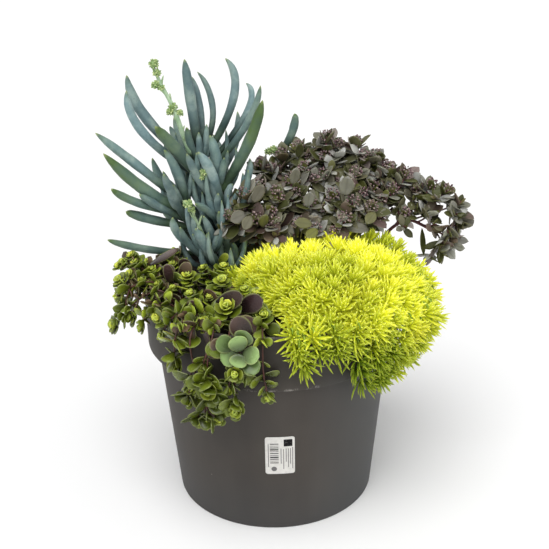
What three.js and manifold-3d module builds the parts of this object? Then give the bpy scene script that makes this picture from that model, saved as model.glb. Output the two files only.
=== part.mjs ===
// A mixed planting of four stonecrops in a round plastic pot: an upright blue one at the back left,
// a dark one arching over the back right, a golden needle-leaved cushion at the front right and
// a green one trailing over the rim at the front left. Millimetres, +Z up, with the origin at the
// centre of the pot's underside and the front of the planting towards -Y.
import * as THREE from 'three';
import { mergeVertices } from 'three/addons/utils/BufferGeometryUtils.js';
import Module from 'manifold-3d';

const wasm = await Module();
wasm.setup();

// Driving dimensions
const POT_HEIGHT = 236;
const RIM_RADIUS = 135;
const COLLAR_HEIGHT = 58.5;
const COLLAR_FOOT_RADIUS = 134.2;
const WALL_TOP_RADIUS = 124.4;
const WALL_FOOT_RADIUS = 107.6;
const FOOT_ROUNDING = 8;
const WALL = 3;
const POT_SIDES = 32;
const DRAIN_HOLE_RADIUS = 6;
const DRAIN_HOLE_CIRCLE = 72;
const SOIL_TOP = 222;
const HOLE_DEPTH = 12;
const GAP = 0.3;
const LABEL_WIDTH = 30;
const LABEL_HEIGHT = 46;
const LABEL_THICKNESS = 0.4;
const LABEL_MIDDLE = { x: 4.6, z: 95 };
const CLEARANCE = 0.35;

const UP = new THREE.Vector3(0, 0, 1);
const vec = (p) => new THREE.Vector3(...p);
const group = new THREE.Group();

// Solids

/** Signed volume of triangles, positive where the faces point outwards. */
function signedVolume(points, faces) {
  let sum = 0;
  const corner = (i) => new THREE.Vector3().fromArray(points, 3 * i);
  for (let f = 0; f < faces.length; f += 3) {
    sum += corner(faces[f]).dot(corner(faces[f + 1]).cross(corner(faces[f + 2])));
  }
  return sum / 6;
}

/** A solid from a closed three.js geometry: shared points merged, flat faces dropped, faces outwards. */
function solidOf(geometry) {
  geometry.deleteAttribute('normal');
  geometry.deleteAttribute('uv');
  const merged = mergeVertices(geometry, 1e-3);
  const points = merged.attributes.position.array;
  const index = merged.index.array;
  const faces = [];
  for (let f = 0; f < index.length; f += 3) {
    const [a, b, c] = [index[f], index[f + 1], index[f + 2]];
    if (a !== b && b !== c && c !== a) faces.push(a, b, c);
  }
  if (signedVolume(points, faces) < 0) faces.reverse();
  return new wasm.Manifold(new wasm.Mesh({
    numProp: 3, vertProperties: new Float32Array(points), triVerts: new Uint32Array(faces),
  }));
}

/** Adds a solid to the group as a named mesh. */
function addNode(name, solid, material) {
  const mesh = solid.getMesh();
  const geometry = new THREE.BufferGeometry();
  geometry.setAttribute('position', new THREE.BufferAttribute(new Float32Array(mesh.vertProperties), 3));
  geometry.setIndex(new THREE.BufferAttribute(new Uint32Array(mesh.triVerts), 1));
  const node = new THREE.Mesh(geometry, material);
  node.name = name;
  group.add(node);
}

/** One of a fixed run of numbers from 0 up to 1, picked by two whole numbers. */
function draw(a, b) {
  const wave = Math.sin(a * 12.9898 + b * 78.233) * 43758.5453;
  return wave - Math.floor(wave);
}

// Pieces that grow

/** A smooth path through three or more points. */
const pathThrough = (points) => new THREE.CatmullRomCurve3(points.map(vec), false, 'centripetal');

/** The straight spans between a path's points, which is where an even stem runs. */
function spansOf(path) {
  const spans = new THREE.CurvePath();
  path.points.slice(1).forEach((point, i) => spans.add(new THREE.LineCurve3(path.points[i], point)));
  return spans;
}

/** A path that leaves root and bows by bend on its way to tip. */
function bowedPath(root, tip, bend) {
  const middle = root.clone().add(tip).multiplyScalar(0.5);
  return new THREE.QuadraticBezierCurve3(root, middle.addScaledVector(bend, 2), tip);
}

/** Two directions at right angles to an axis and to each other, the first one level where it can be. */
function sideways(axis) {
  const helper = Math.abs(axis.z) < 0.95 * axis.length() ? UP : new THREE.Vector3(1, 0, 0);
  const u = new THREE.Vector3().crossVectors(helper, axis).normalize();
  return [u, new THREE.Vector3().crossVectors(axis, u).normalize()];
}

/** The direction that leans away from axis by splay radians, turned about it by turn radians. */
function leaning(axis, turn, splay) {
  const [u, v] = sideways(axis);
  return axis.clone().multiplyScalar(Math.cos(splay))
    .addScaledVector(u, Math.sin(splay) * Math.cos(turn))
    .addScaledVector(v, Math.sin(splay) * Math.sin(turn));
}

/** A spindle bent along a path. Its profile lists [share of the length, radius] from end to end. */
function spindle(path, profile, sides) {
  const geometry = new THREE.LatheGeometry(profile.map(([t, r]) => new THREE.Vector2(r, t)), sides);
  const [reference] = sideways(path.getPoint(1).sub(path.getPoint(0)));
  const position = geometry.attributes.position;
  for (let i = 0; i < position.count; i += 1) {
    const t = THREE.MathUtils.clamp(position.getY(i), 0, 1);
    const lift = new THREE.Vector3().crossVectors(path.getTangentAt(t), reference).normalize();
    const across = new THREE.Vector3().crossVectors(lift, path.getTangentAt(t));
    const point = path.getPointAt(t)
      .addScaledVector(across, position.getX(i))
      .addScaledVector(lift, position.getZ(i));
    position.setXYZ(i, point.x, point.y, point.z);
  }
  return solidOf(geometry);
}

/** An even stem of the given radius, with a ring of corners at each point that its path was drawn through. */
function stem(path, radius, sides) {
  const spans = path.points.length - 1;
  const lengths = path.getLengths(40 * spans);
  const profile = [[0, 0]];
  for (let i = 0; i <= spans; i += 1) profile.push([lengths[40 * i] / lengths.at(-1), radius]);
  profile.push([1, 0]);
  return spindle(path, profile, sides);
}

/** A solid from points and the corners of its triangles. */
function faceted(points, triangles) {
  const geometry = new THREE.BufferGeometry().setFromPoints(points);
  geometry.setIndex(triangles.flat());
  return solidOf(geometry);
}

/**
 * One thick leaf: a lens from root along direction, its upper side towards face. The outline lists
 * [share of the length, share of the width] up one edge from the root, and round again down the other.
 */
function lensLeaf(root, direction, face, { length, width, thickness, outline, tip = true }) {
  const across = new THREE.Vector3().crossVectors(face, direction).normalize();
  const lift = new THREE.Vector3().crossVectors(direction, across).normalize();
  const at = (along, aside, up) => root.clone().addScaledVector(direction, along * length)
    .addScaledVector(across, aside * width).addScaledVector(lift, up);
  const rim = [at(0, 0, 0), ...outline.map(([l, w]) => at(l, -w, 0))];
  if (tip) rim.push(at(1, 0, 0));
  rim.push(...outline.map(([l, w]) => at(l, w, 0)).reverse());
  const triangles = [];
  for (let i = 0; i < rim.length; i += 1) {
    const next = (i + 1) % rim.length;
    triangles.push([i, next, rim.length], [next, i, rim.length + 1]);
  }
  return faceted([...rim, at(0.55, 0, thickness / 2), at(0.5, 0, -thickness / 2)], triangles);
}

/** Three corners round a point of a twig that runs along direction, the first on the side given. */
function twigRing(point, direction, radius, side) {
  const u = side.clone().projectOnPlane(direction).normalize();
  const v = new THREE.Vector3().crossVectors(direction, u);
  return [0, 1, 2].map((i) => point.clone()
    .addScaledVector(u, radius * Math.cos((2 * Math.PI * i) / 3))
    .addScaledVector(v, radius * Math.sin((2 * Math.PI * i) / 3)));
}

/**
 * A whorl of oval leaves at the end of a straight twig, as one body with a raised heart. Splay is
 * the leaves' angle to the axis and cup lifts their tips. Each leaf has a ridge along its upper side.
 */
function whorl(centre, axis, turn, foot, shape) {
  const { leaves, length, width, splay, neck, thickness, heart, twig, cup = 0.1 } = shape;
  const at = (angle, along, aside, up) => centre.clone()
    .addScaledVector(leaning(axis, angle, splay), along)
    .addScaledVector(leaning(axis, angle + Math.PI / 2, Math.PI / 2), aside)
    .addScaledVector(axis, up + cup * (along / length) * along);
  const side = leaning(axis, turn - Math.PI / leaves, Math.PI / 2);
  const base = centre.clone().addScaledVector(axis, -1.5);
  const collar = twigRing(base, axis, twig, side);
  const end = twigRing(foot, base.clone().sub(foot).normalize(), twig, side);
  const points = [centre.clone().addScaledVector(axis, heart), ...collar, ...end];
  const triangles = [[6, 5, 4]];
  for (const [a, b] of [[0, 1], [1, 2], [2, 0]]) {
    triangles.push([1 + b, 1 + a, 4 + a], [1 + b, 4 + a, 4 + b]);
  }
  const rim = [];
  for (let leaf = 0; leaf < leaves; leaf += 1) {
    const angle = turn + (2 * Math.PI * leaf) / leaves;
    const first = points.length;
    rim.push(first, first + 1, first + 2, first + 3);
    points.push(
      at(angle - Math.PI / leaves, neck, 0, 0),
      at(angle, 0.62 * length, -width / 2, 0),
      at(angle, length, 0, 0),
      at(angle, 0.62 * length, width / 2, 0),
      at(angle, 0.5 * length, 0, thickness),
    );
  }
  for (let leaf = 0; leaf < leaves; leaf += 1) {
    const edge = [0, 1, 2, 3, 4].map((i) => rim[(4 * leaf + i) % rim.length]);
    const ridge = edge[0] + 4;
    for (let i = 0; i < 4; i += 1) triangles.push([edge[i], edge[i + 1], ridge]);
    triangles.push([edge[0], ridge, 0], [ridge, edge[4], 0]);
  }
  rim.forEach((corner, i) => {
    const under = 1 + (Math.round((3 * i) / rim.length) % 3);
    const before = 1 + (Math.round((3 * (i - 1 + rim.length)) / rim.length) % 3);
    triangles.push([rim[(i + 1) % rim.length], corner, under]);
    if (before !== under) triangles.push([corner, before, under]);
  });
  return faceted(points, triangles);
}

/**
 * A tuft of three-sided needles on a short twig: a small ball whose faces are drawn out to points,
 * but for those that face back, of which the furthest back runs on to the foot.
 */
function tuft(centre, axis, turn, foot, { radius, length, furthest }) {
  const ball = new THREE.IcosahedronGeometry(radius, 0);
  const stand = new THREE.Quaternion().setFromUnitVectors(new THREE.Vector3(1, 1, 1).normalize(), axis)
    .premultiply(new THREE.Quaternion().setFromAxisAngle(axis, turn));
  ball.applyQuaternion(stand);
  const { position } = ball.attributes;
  const points = [];
  const triangles = [];
  for (let f = 0; f < 20; f += 1) {
    const corners = [0, 1, 2].map((c) => new THREE.Vector3().fromBufferAttribute(position, 3 * f + c));
    const out = corners[0].clone().add(corners[1]).add(corners[2]).normalize();
    const first = points.length;
    points.push(...corners.map((corner) => corner.clone().add(centre)));
    if (out.dot(axis) < -0.99) {
      points.push(...corners.map((corner) => corner.clone().projectOnPlane(axis).add(foot)));
      triangles.push([first + 3, first + 4, first + 5]);
      for (const [a, b] of [[0, 1], [1, 2], [2, 0]]) {
        triangles.push([first + a, first + b, first + b + 3], [first + a, first + b + 3, first + a + 3]);
      }
    } else if (out.dot(axis) < furthest) {
      triangles.push([first, first + 1, first + 2]);
    } else {
      points.push(centre.clone().addScaledVector(out, length * (0.85 + 0.15 * draw(f, turn))));
      for (const [a, b] of [[0, 1], [1, 2], [2, 0]]) triangles.push([first + a, first + b, first + 3]);
    }
  }
  return faceted(points, triangles);
}

/** A tight cluster of buds: a ball with every other corner drawn out. */
function cluster(centre, radius) {
  const ball = new THREE.IcosahedronGeometry(radius, 0);
  const position = ball.attributes.position;
  for (let i = 0; i < position.count; i += 1) {
    const corner = new THREE.Vector3().fromBufferAttribute(position, i);
    const out = corner.x * corner.y * corner.z + corner.x + corner.z > 0 ? 1.15 : 0.85;
    corner.multiplyScalar(out).add(centre);
    position.setXYZ(i, corner.x, corner.y, corner.z);
  }
  return solidOf(ball);
}

// Room between the plants. Each plant is planned first: its stems, which stay as they are, and its
// pieces. Each piece is a function of a try number and a margin, and its tries bend or turn it until
// it is clear of the other nodes.
const TRIES = 6;
const plants = [];
const fixed = [];

/** Whether two boxes meet. */
function boxesMeet(a, b) {
  return [0, 1, 2].every((i) => a.min[i] <= b.max[i] && b.min[i] <= a.max[i]);
}

/** Whether a solid meets anything but the plant that it belongs to. */
function isClear(solid, own) {
  const box = solid.boundingBox();
  return [...fixed, ...plants].every((other) => other === own
    || !boxesMeet(box, other.box) || solid.intersect(other.solid).isEmpty());
}

/** Adds a solid that no plant may cross, such as the pot. */
function place(name, solid, material) {
  addNode(name, solid, material);
  fixed.push({ name, solid, box: solid.boundingBox() });
}

/** Plans a plant from its fused stems, its pieces and its material. */
function plan(name, stems, pieces, material) {
  const solid = wasm.Manifold.union(stems);
  plants.push({ name, solid, box: solid.boundingBox(), pieces, material });
}

/** Fuses on to a plant every piece that some try brings clear of the others, and adds the node. */
function grow(plant) {
  const kept = [plant.solid];
  for (const piece of plant.pieces) {
    for (let t = 0; t < TRIES; t += 1) {
      if (isClear(piece(t, CLEARANCE), plant)) {
        kept.push(piece(t, 0));
        break;
      }
    }
  }
  const parts = wasm.Manifold.union(kept).decompose();
  plant.solid = parts.reduce((a, b) => (a.volume() > b.volume() ? a : b));
  plant.box = plant.solid.boundingBox();
  addNode(plant.name, plant.solid, plant.material);
}

// Pot

const plastic = new THREE.MeshStandardMaterial({ color: '#4f4c48', roughness: 0.55, metalness: 0 });

/** The pot's section from the middle of its underside, out, up the wall and collar and back inside. */
function potSection() {
  const shelf = POT_HEIGHT - COLLAR_HEIGHT;
  const outline = [
    [0, 0],
    [WALL_FOOT_RADIUS - FOOT_ROUNDING / 2, 0],
    [WALL_FOOT_RADIUS, FOOT_ROUNDING / 2],
    [WALL_TOP_RADIUS, shelf],
    [COLLAR_FOOT_RADIUS, shelf],
    [RIM_RADIUS, POT_HEIGHT],
    [RIM_RADIUS - WALL, POT_HEIGHT],
    [COLLAR_FOOT_RADIUS - WALL, shelf + WALL],
    [WALL_TOP_RADIUS - WALL, shelf + WALL],
    [WALL_FOOT_RADIUS - WALL, WALL],
    [0, WALL],
  ];
  return outline.map(([r, z]) => new THREE.Vector2(r, z));
}

/** A plain upright prism, as a cutter for a hole. */
function prism(x, y, bottom, top, radius, sides) {
  const geometry = new THREE.CylinderGeometry(radius, radius, top - bottom, sides);
  return solidOf(geometry.rotateX(Math.PI / 2).translate(x, y, (top + bottom) / 2));
}

let pot = solidOf(new THREE.LatheGeometry(potSection(), POT_SIDES).rotateX(Math.PI / 2));
for (let i = 0; i < 5; i += 1) {
  const turn = (i / 5) * 2 * Math.PI;
  pot = pot.subtract(prism(
    DRAIN_HOLE_CIRCLE * Math.cos(turn), DRAIN_HOLE_CIRCLE * Math.sin(turn), -1, WALL + 1, DRAIN_HOLE_RADIUS, 8,
  ));
}
place('pot', pot, plastic);

// Label: a bare sticker bent round the wall

const paper = new THREE.MeshStandardMaterial({ color: '#e4e2de', roughness: 0.5 });

/** Radius of the pot's outer wall at height z, below the collar. */
function wallRadius(z) {
  const t = (z - FOOT_ROUNDING / 2) / (POT_HEIGHT - COLLAR_HEIGHT - FOOT_ROUNDING / 2);
  return WALL_FOOT_RADIUS + (WALL_TOP_RADIUS - WALL_FOOT_RADIUS) * t;
}

const sticker = new THREE.BoxGeometry(2, 1, 2, 4, 1, 1);
const columns = [-1, -0.92, 0, 0.92, 1];
const stickerPoints = sticker.attributes.position;
for (let i = 0; i < stickerPoints.count; i += 1) {
  const column = columns[Math.round((stickerPoints.getX(i) + 1) * 2)];
  const corner = Math.abs(column) === 1 ? 0.93 : 1;
  const z = LABEL_MIDDLE.z + (stickerPoints.getZ(i) * corner * LABEL_HEIGHT) / 2;
  const outer = stickerPoints.getY(i) < 0;
  const radius = wallRadius(z) + GAP + (outer ? LABEL_THICKNESS : 0);
  const turn = (LABEL_MIDDLE.x + (column * LABEL_WIDTH) / 2) / wallRadius(z);
  stickerPoints.setXYZ(i, radius * Math.sin(turn), -radius * Math.cos(turn), z);
}
place('label', solidOf(sticker), paper);

// Blue stonecrop: leafy stems with long round leaves. Each stem is a list of points from its foot
// in the soil, and each leaf is [height of its root, tip, bow to the right and up, width].

const blueLeaf = new THREE.MeshStandardMaterial({ color: '#6e8b8b', roughness: 0.6 });
const paleStalk = new THREE.MeshStandardMaterial({ color: '#a9c29b', roughness: 0.6 });
const FOOT = SOIL_TOP - HOLE_DEPTH + GAP;
const BLUE_STEM_RADIUS = 4.5;
const BLUE_STEMS = {
  main: [[-40, 46], [-50, 47, 290], [-70, 48, 340], [-74, 49, 356]],
  left: [[-58, 30], [-76, 33, 258], [-88, 35, 300], [-92, 36, 318]],
  front: [[-50, 16], [-58, 18, 250], [-66, 20, 268]],
  right: [[-36, 33], [-44, 34, 250], [-52, 36, 300], [-57, 38, 334]],
  back: [[20, 92], [12, 95, 300], [6, 97, 346]],
};
const BLUE_LEAVES = {
  main: [
    [348, [-147, 64, 445], [-17, 1], 12.5],
    [336, [-145, 40, 434], [-22, 0], 10.7],
    [326, [-115, 12, 403], [-3, 4], 14.6],
    [350, [-85, 50, 463], [-1, 6], 12.2],
    [352, [-80, 70, 441], [5, 5], 8.4],
    [354, [-75, 80, 444], [15, 8], 6.9],
    [352, [-44, 60, 461], [22, 14], 9.8],
    [344, [-24, 84, 430], [24, 16], 7.4],
    [340, [-8, 52, 434], [12, 1], 8.8],
    [342, [-107, 80, 386], [-4, 2], 8.6],
    [346, [-85, 34, 396], [-3, 2], 8.2],
    [300, [-62, 96, 372], [8, 0], 10],
    [320, [-104, 98, 392], [-4, -6], 10.5],
    [330, [-34, 92, 398], [10, -4], 9.5],
    [280, [-72, 92, 330], [-2, -4], 10],
    [262, [-36, 92, 306], [4, -4], 10],
  ],
  left: [
    [314, [-179, 30, 393], [0, 0], 11],
    [308, [-171, 20, 374], [3, -13], 14.4],
    [300, [-164, 10, 339], [-12, -1], 9.8],
    [292, [-136, 14, 331], [-6, 2], 9.3],
    [286, [-153, 24, 309], [-10, 1], 11.1],
    [256, [-174, 18, 280], [-11, -2], 9],
    [304, [-108, 18, 377], [4, 4], 10.2],
    [282, [-108, 2, 356], [-5, 6], 9.6],
    [296, [-128, 78, 352], [-4, -6], 10.5],
    [270, [-122, 74, 306], [-4, -4], 10],
    [312, [-112, 60, 372], [2, -2], 9.5],
  ],
  front: [
    [240, [-78, -4, 299], [-2, 2], 11.9],
    [246, [-94, -2, 300], [-9, 1], 8.8],
    [258, [-102, 6, 308], [-12, -1], 10.4],
  ],
  right: [
    [322, [-6, 24, 425], [6, -1], 13.6],
    [318, [-61, 26, 389], [3, 4], 12.3],
    [296, [-73, 10, 376], [3, 8], 12.2],
    [306, [-84, 6, 376], [-4, 0], 9.1],
    [284, [-54, 12, 331], [-3, 1], 8.3],
    [240, [-70, 6, 309], [-4, 2], 9.3],
    [236, [-54, 8, 313], [-1, 6], 11.4],
    [280, [-78, 2, 323], [-1, 7], 8.2],
    [300, [-21, 40, 360], [9, 1], 9.4],
    [278, [-33, 20, 331], [0, 7], 5.7],
    [292, [-39, 30, 335], [-1, 8], 8.4],
    [228, [-40, 2, 279], [0, 8], 6.3],
    [246, [-24, 22, 280], [2, 2], 6.4],
  ],
  back: [
    [340, [28, 106, 391], [8, 6], 10.2],
    [342, [-8, 86, 366], [-6, -8], 8],
    [334, [10, 124, 372], [2, -4], 9],
    [300, [-10, 118, 336], [-2, -6], 9],
    [290, [40, 118, 328], [4, -6], 9],
  ],
};
const BLUE_TAPER = [[0, 0], [0.28, 0.84], [0.6, 1], [0.86, 0.74], [1, 0]];
const TOWARDS_BACK = new THREE.Vector3(0, 0.923, -0.385);
const STEPS_ASIDE = [0, -5, 5, -10, 10, -15];

/** A stem's path, with its foot upright in its hole in the soil. */
function rootedPath(points) {
  const [x, y] = points[0];
  return pathThrough([[x, y, FOOT], [x, y, SOIL_TOP + 2], ...points.slice(1)]);
}

/** The point of a path at height z. */
function atHeight(path, z) {
  let [low, high] = [0, 1];
  for (let i = 0; i < 24; i += 1) {
    const middle = (low + high) / 2;
    if (path.getPoint(middle).z < z) low = middle;
    else high = middle;
  }
  return path.getPoint(low);
}

for (const [key, points] of Object.entries(BLUE_STEMS)) {
  const path = rootedPath(points);
  const pieces = BLUE_LEAVES[key].map(([height, tip, [right, up], width]) => (t, margin) => {
    const end = vec(tip).addScaledVector(TOWARDS_BACK, STEPS_ASIDE[t]);
    const bow = new THREE.Vector3(right, 0, up).addScaledVector(TOWARDS_BACK, STEPS_ASIDE[t] * 0.7);
    const profile = BLUE_TAPER.map(([s, r]) => [s, r * (width / 2 + margin)]);
    return spindle(bowedPath(atHeight(path, height), end, bow), profile, width < 10.5 ? 4 : 5);
  });
  plan(`blue_stem_${key}`, [stem(path, BLUE_STEM_RADIUS, 5)], pieces, blueLeaf);
}

// Flower stalks of the blue stonecrop: pale, and tipped with tight clusters of buds. A stalk stands
// on a leafy stem's tip: [path], then [bud cluster, radius].
const STALK_RADIUS = 2.4;
const STALKS = {
  tall: {
    path: [[-82, 41, 362.6], [-88, 40, 382], [-96, 39, 403], [-105, 37, 428], [-115, 34, 461]],
    clusters: [[[-114.5, 34, 457], 6], [[-112, 37, 440], 4.8], [[-98.5, 39, 414], 4.8]],
  },
  low: {
    path: [[-66.4, 20, 269.1], [-75, 13, 294], [-86, 5, 325]],
    clusters: [[[-85.5, 5.5, 323.5], 5]],
  },
  back: {
    path: [[6, 97, 347.6], [6, 95, 351], [5, 90, 356]],
    clusters: [[[5, 90.5, 355.5], 6]],
  },
};

for (const [key, { path, clusters }] of Object.entries(STALKS)) {
  const pieces = clusters.map(([centre, radius]) => (
    (t, margin) => cluster(vec(centre), radius * (1 - 0.1 * t) + margin)));
  plan(`flower_stalk_${key}`, [stem(pathThrough(path), STALK_RADIUS, 4)], pieces, paleStalk);
}

// Dark stonecrop: branches from the soil that fork into twigs, each ending in a head of oval leaves
// round a few buds. A branch is its foot, the points up to its fork, and its heads.
const darkLeaf = new THREE.MeshStandardMaterial({ color: '#5f5a55', roughness: 0.7 });
const DARK_CENTRE = new THREE.Vector3(60, 62, 235);
const DARK_BRANCHES = {
  left: {
    path: [[-14, 46], [-14, 40, 250], [-16, 26, 278]],
    heads: [[-25, 20, 325], [-11, 30, 330], [-41, 6, 306], [-14, 6, 302]],
  },
  front_left: {
    path: [[8, 50], [10, 46, 262], [13, 32, 296]],
    heads: [[9, 14, 322], [23, 34, 334], [37, 46, 343], [5, 2, 300]],
  },
  back_left: {
    path: [[28, 84], [26, 84, 280], [24, 82, 318]],
    heads: [[-9, 72, 340], [14, 80, 348], [32, 88, 354]],
  },
  top: {
    path: [[52, 74], [53, 72, 270], [56, 62, 320]],
    heads: [[62, 78, 368], [60, 64, 349], [56, 46, 335]],
  },
  front: {
    path: [[36, 60], [38, 56, 262], [44, 30, 295]],
    heads: [[41, 20, 315], [65, 24, 320], [30, 2, 297], [46, -2, 292]],
  },
  back_right: {
    path: [[84, 78], [86, 76, 270], [98, 68, 322]],
    heads: [[94, 78, 361], [114, 72, 348], [91, 52, 335], [125, 64, 337]],
  },
  front_right: {
    path: [[70, 62], [72, 58, 262], [81, 28, 298]],
    heads: [[81, 32, 328], [85, 14, 315], [76, 0, 303], [104, 12, 310]],
  },
  right: {
    path: [[102, 60], [106, 58, 256], [124, 47, 296]],
    heads: [[129, 44, 318], [146, 60, 331], [109, 44, 321], [142, 30, 298]],
  },
  arm: {
    path: [[110, 44], [113, 43, 246], [125, 38, 274], [136, 38, 284], [148, 40, 288], [161, 40, 283],
      [180, 38, 272]],
    heads: [[158, 54, 316], [172, 50, 321], [188, 46, 316], [202, 40, 305], [170, 34, 297],
      [203, 32, 284], [196, 32, 266], [186, 36, 253]],
  },
  back: {
    path: [[62, 100], [62, 104, 270], [62, 106, 312]],
    heads: [[38, 112, 332], [68, 120, 336], [96, 108, 332], [64, 102, 356]],
  },
  back_far_right: {
    path: [[92, 84], [96, 86, 262], [116, 90, 304]],
    heads: [[120, 98, 326], [142, 86, 318], [118, 82, 344]],
  },
};
const DARK_STEM_RADIUS = 2.2;
const TWIG_RADIUS = 1.3;

/** A head: a whorl of leaves round an axis, with its buds as a raised heart. */
function darkHead(centre, axis, foot, seed, share) {
  return (t, margin) => {
    const size = (1 + 0.2 * draw(seed, 1) - 0.05 * t) * share;
    const aside = centre.clone().addScaledVector(leaning(axis, 2.4 * t, Math.PI / 2), 2.5 * t);
    return whorl(aside, axis, 6 * draw(seed, 2) + 0.4 * t, foot, {
      leaves: 4, length: 19 * size + margin, width: 15.5 * size + 2 * margin,
      twig: TWIG_RADIUS + margin,
      splay: 1.0 + 0.2 * draw(seed, 3), neck: 4 + margin, thickness: 1.6 + margin, heart: 6 + margin,
    });
  };
}

Object.entries(DARK_BRANCHES).forEach(([key, { path, heads }], b) => {
  const trunk = rootedPath(path);
  const fork = vec(path.at(-1));
  const pieces = [];
  heads.forEach((head, h) => {
    const centre = vec(head);
    const axis = centre.clone().sub(DARK_CENTRE).normalize().add(new THREE.Vector3(0, 0, 0.35)).normalize();
    const start = key === 'arm' ? trunk.getPoint(0.62 + 0.37 * (h / (heads.length - 1))) : fork;
    pieces.push(darkHead(centre, axis, start, 10 * b + h, key === 'arm' ? 0.75 : 1));
  });
  plan(`dark_branch_${key}`, [stem(trunk, DARK_STEM_RADIUS, 4)], pieces, darkLeaf);
});

// Green stonecrop: trailing stems with opposite pairs of round leaves, each ending in a rosette.
const greenLeaf = new THREE.MeshStandardMaterial({ color: '#5f8436', roughness: 0.5 });
const GREEN_STEM_RADIUS = 1.3;
const GREEN_STEMS = {
  far_left: [[-106, 2], [-120, -4, 250], [-142, -10, 262], [-160, -12, 262]],
  left_upright: [[-112, -14], [-118, -15, 246], [-124, -14, 257]],
  left_upper: [[-102, -28], [-122, -34, 252], [-142, -38, 250], [-160, -30, 236]],
  left_long: [[-92, -54], [-112, -52, 250], [-134, -48, 240], [-151, -44, 222], [-163, -44, 209]],
  left_middle: [[-84, -68], [-104, -74, 246], [-122, -68, 238], [-133, -65, 215]],
  left_front: [[-72, -86], [-86, -94, 248], [-100, -98, 238], [-110, -93, 220]],
  star: [[-62, -92], [-70, -104, 248], [-80, -114, 240]],
  pale: [[-70, -64], [-76, -70, 244], [-81, -75, 257]],
  pink: [[-32, -78], [-40, -88, 242], [-44, -97, 250]],
  inner_high: [[-58, -20], [-55, -20, 246], [-50, -20, 261]],
  inner_middle: [[-54, -46], [-51, -50, 244], [-50, -50, 258]],
  inner_left: [[-84, -36], [-84, -39, 246], [-85, -40, 260]],
  inner_right: [[-30, -46], [-29, -56, 242], [-28, -60, 253]],
  rim_right: [[-14, -84], [-12, -92, 234], [-10, -99, 242]],
  hang_left: [[-76, -96], [-82, -108, 246], [-91, -121, 238], [-95, -116, 215], [-96, -112, 197]],
  hang_lowest: [[-66, -100], [-70, -112, 246], [-78, -130, 235], [-76, -129, 205], [-68, -133, 165],
    [-66, -130, 143]],
  hang_long: [[-52, -108], [-54, -122, 246], [-57, -138, 238], [-62, -141, 215], [-61, -147, 188]],
  hang_large: [[-38, -108], [-39, -122, 245], [-41, -142, 239], [-38, -149, 224], [-36, -152, 209]],
  hang_right: [[-26, -110], [-27, -124, 245], [-29, -142, 236], [-36, -146, 205], [-37, -148, 166]],
  hang_red: [[-10, -112], [-10, -126, 243], [-10, -142, 234], [-10, -144, 205], [-6, -146, 178]],
};
const GREEN_LEAF = 16.5;
const SPOON = [[0.55, 0.5], [0.95, 0.3]];
const PAIR_SPACING = 13;
const MOST_PAIRS = 2;

/** Opposite pairs of leaves along a trailing stem and the rosette at its end. */
function trailingPieces(shoot, seed) {
  const path = spansOf(shoot);
  const pieces = [];
  const length = path.getLength();
  const free = length - (SOIL_TOP + 8 - FOOT);
  const pairs = Math.max(1, Math.min(MOST_PAIRS, Math.floor(free / PAIR_SPACING)));
  for (let p = 1; p <= pairs; p += 1) {
    const at = 1 - (p * PAIR_SPACING - 3) / length;
    const [node, axis] = [path.getPointAt(at), path.getTangentAt(at)];
    for (const side of [0, 1]) {
      pieces.push((t, margin) => {
        const turn = Math.PI * (side + p / 2) + draw(seed, p) + 0.35 * t;
        const size = GREEN_LEAF * (0.95 + 0.15 * draw(seed, p + 7)) * (1 - 0.08 * t);
        const direction = leaning(axis, turn, 1.2);
        return lensLeaf(node.clone().addScaledVector(direction, 0.15), direction, axis, {
          length: size + margin, width: 0.95 * size + 2 * margin, thickness: 2.6 + 2 * margin,
          outline: SPOON, tip: false,
        });
      });
    }
  }
  const axis = path.getTangentAt(1).multiplyScalar(0.7).add(new THREE.Vector3(-0.1, -0.5, 0.45)).normalize();
  pieces.push((t, margin) => {
    const size = GREEN_LEAF * (1 - 0.08 * t);
    const foot = path.getPointAt(1).addScaledVector(path.getTangentAt(1), -1);
    const heart = foot.clone().addScaledVector(axis, 4);
    return whorl(heart, axis, 3 * draw(seed, 20) + 0.3 * t, foot, {
      leaves: 4 + (seed % 2), splay: 0.95, length: 0.95 * size + margin, width: 0.8 * size + 2 * margin,
      neck: 3.4 + margin, thickness: 1.5 + margin, heart: 5 + margin, twig: 0.9 + margin,
    });
  });
  return pieces;
}

Object.entries(GREEN_STEMS).forEach(([key, points], n) => {
  const path = rootedPath(points);
  plan(`green_stem_${key}`, [stem(path, GREEN_STEM_RADIUS, 3)], trailingPieces(path, 200 + n), greenLeaf);
});

// Golden stonecrop: a cushion of needle-leaved shoots over the front right, drawn in where the green
// one meets it, and sprays that lean out from under it over the rim.
const goldLeaf = new THREE.MeshStandardMaterial({ color: '#c6dc2a', roughness: 0.6 });
const CUSHION_CENTRE = new THREE.Vector3(55, -32, 225);
const CUSHION_REACH = { x: 112, y: 100, z: 70 };
const CUSHION_BITE = { towards: 213, half: 42, depth: 0.34 };
const CUSHION_CORE_DEPTH = 27;
const CUSHION_KNOBS = 7;
const SHOOT_STALK = 19;
const CUSHION_UNDERSIDE = 241.5;
const CUSHION_PLUG = { x: 46, y: -28, radius: 50 };
const NEEDLE_LENGTH = 19;
const NEEDLE_BALL = 2.2;
const SHOOTS = 44;
const GOLDEN_ANGLE = Math.PI * (3 - Math.sqrt(5));

/** How far the cushion's plan is drawn in towards the green stonecrop, as a share of its reach. */
function biteAt(turn) {
  const off = ((THREE.MathUtils.radToDeg(turn) - CUSHION_BITE.towards + 540) % 360) - 180;
  if (Math.abs(off) > CUSHION_BITE.half) return 1;
  return 1 - CUSHION_BITE.depth * Math.cos((Math.PI / 2) * (off / CUSHION_BITE.half));
}

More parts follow.
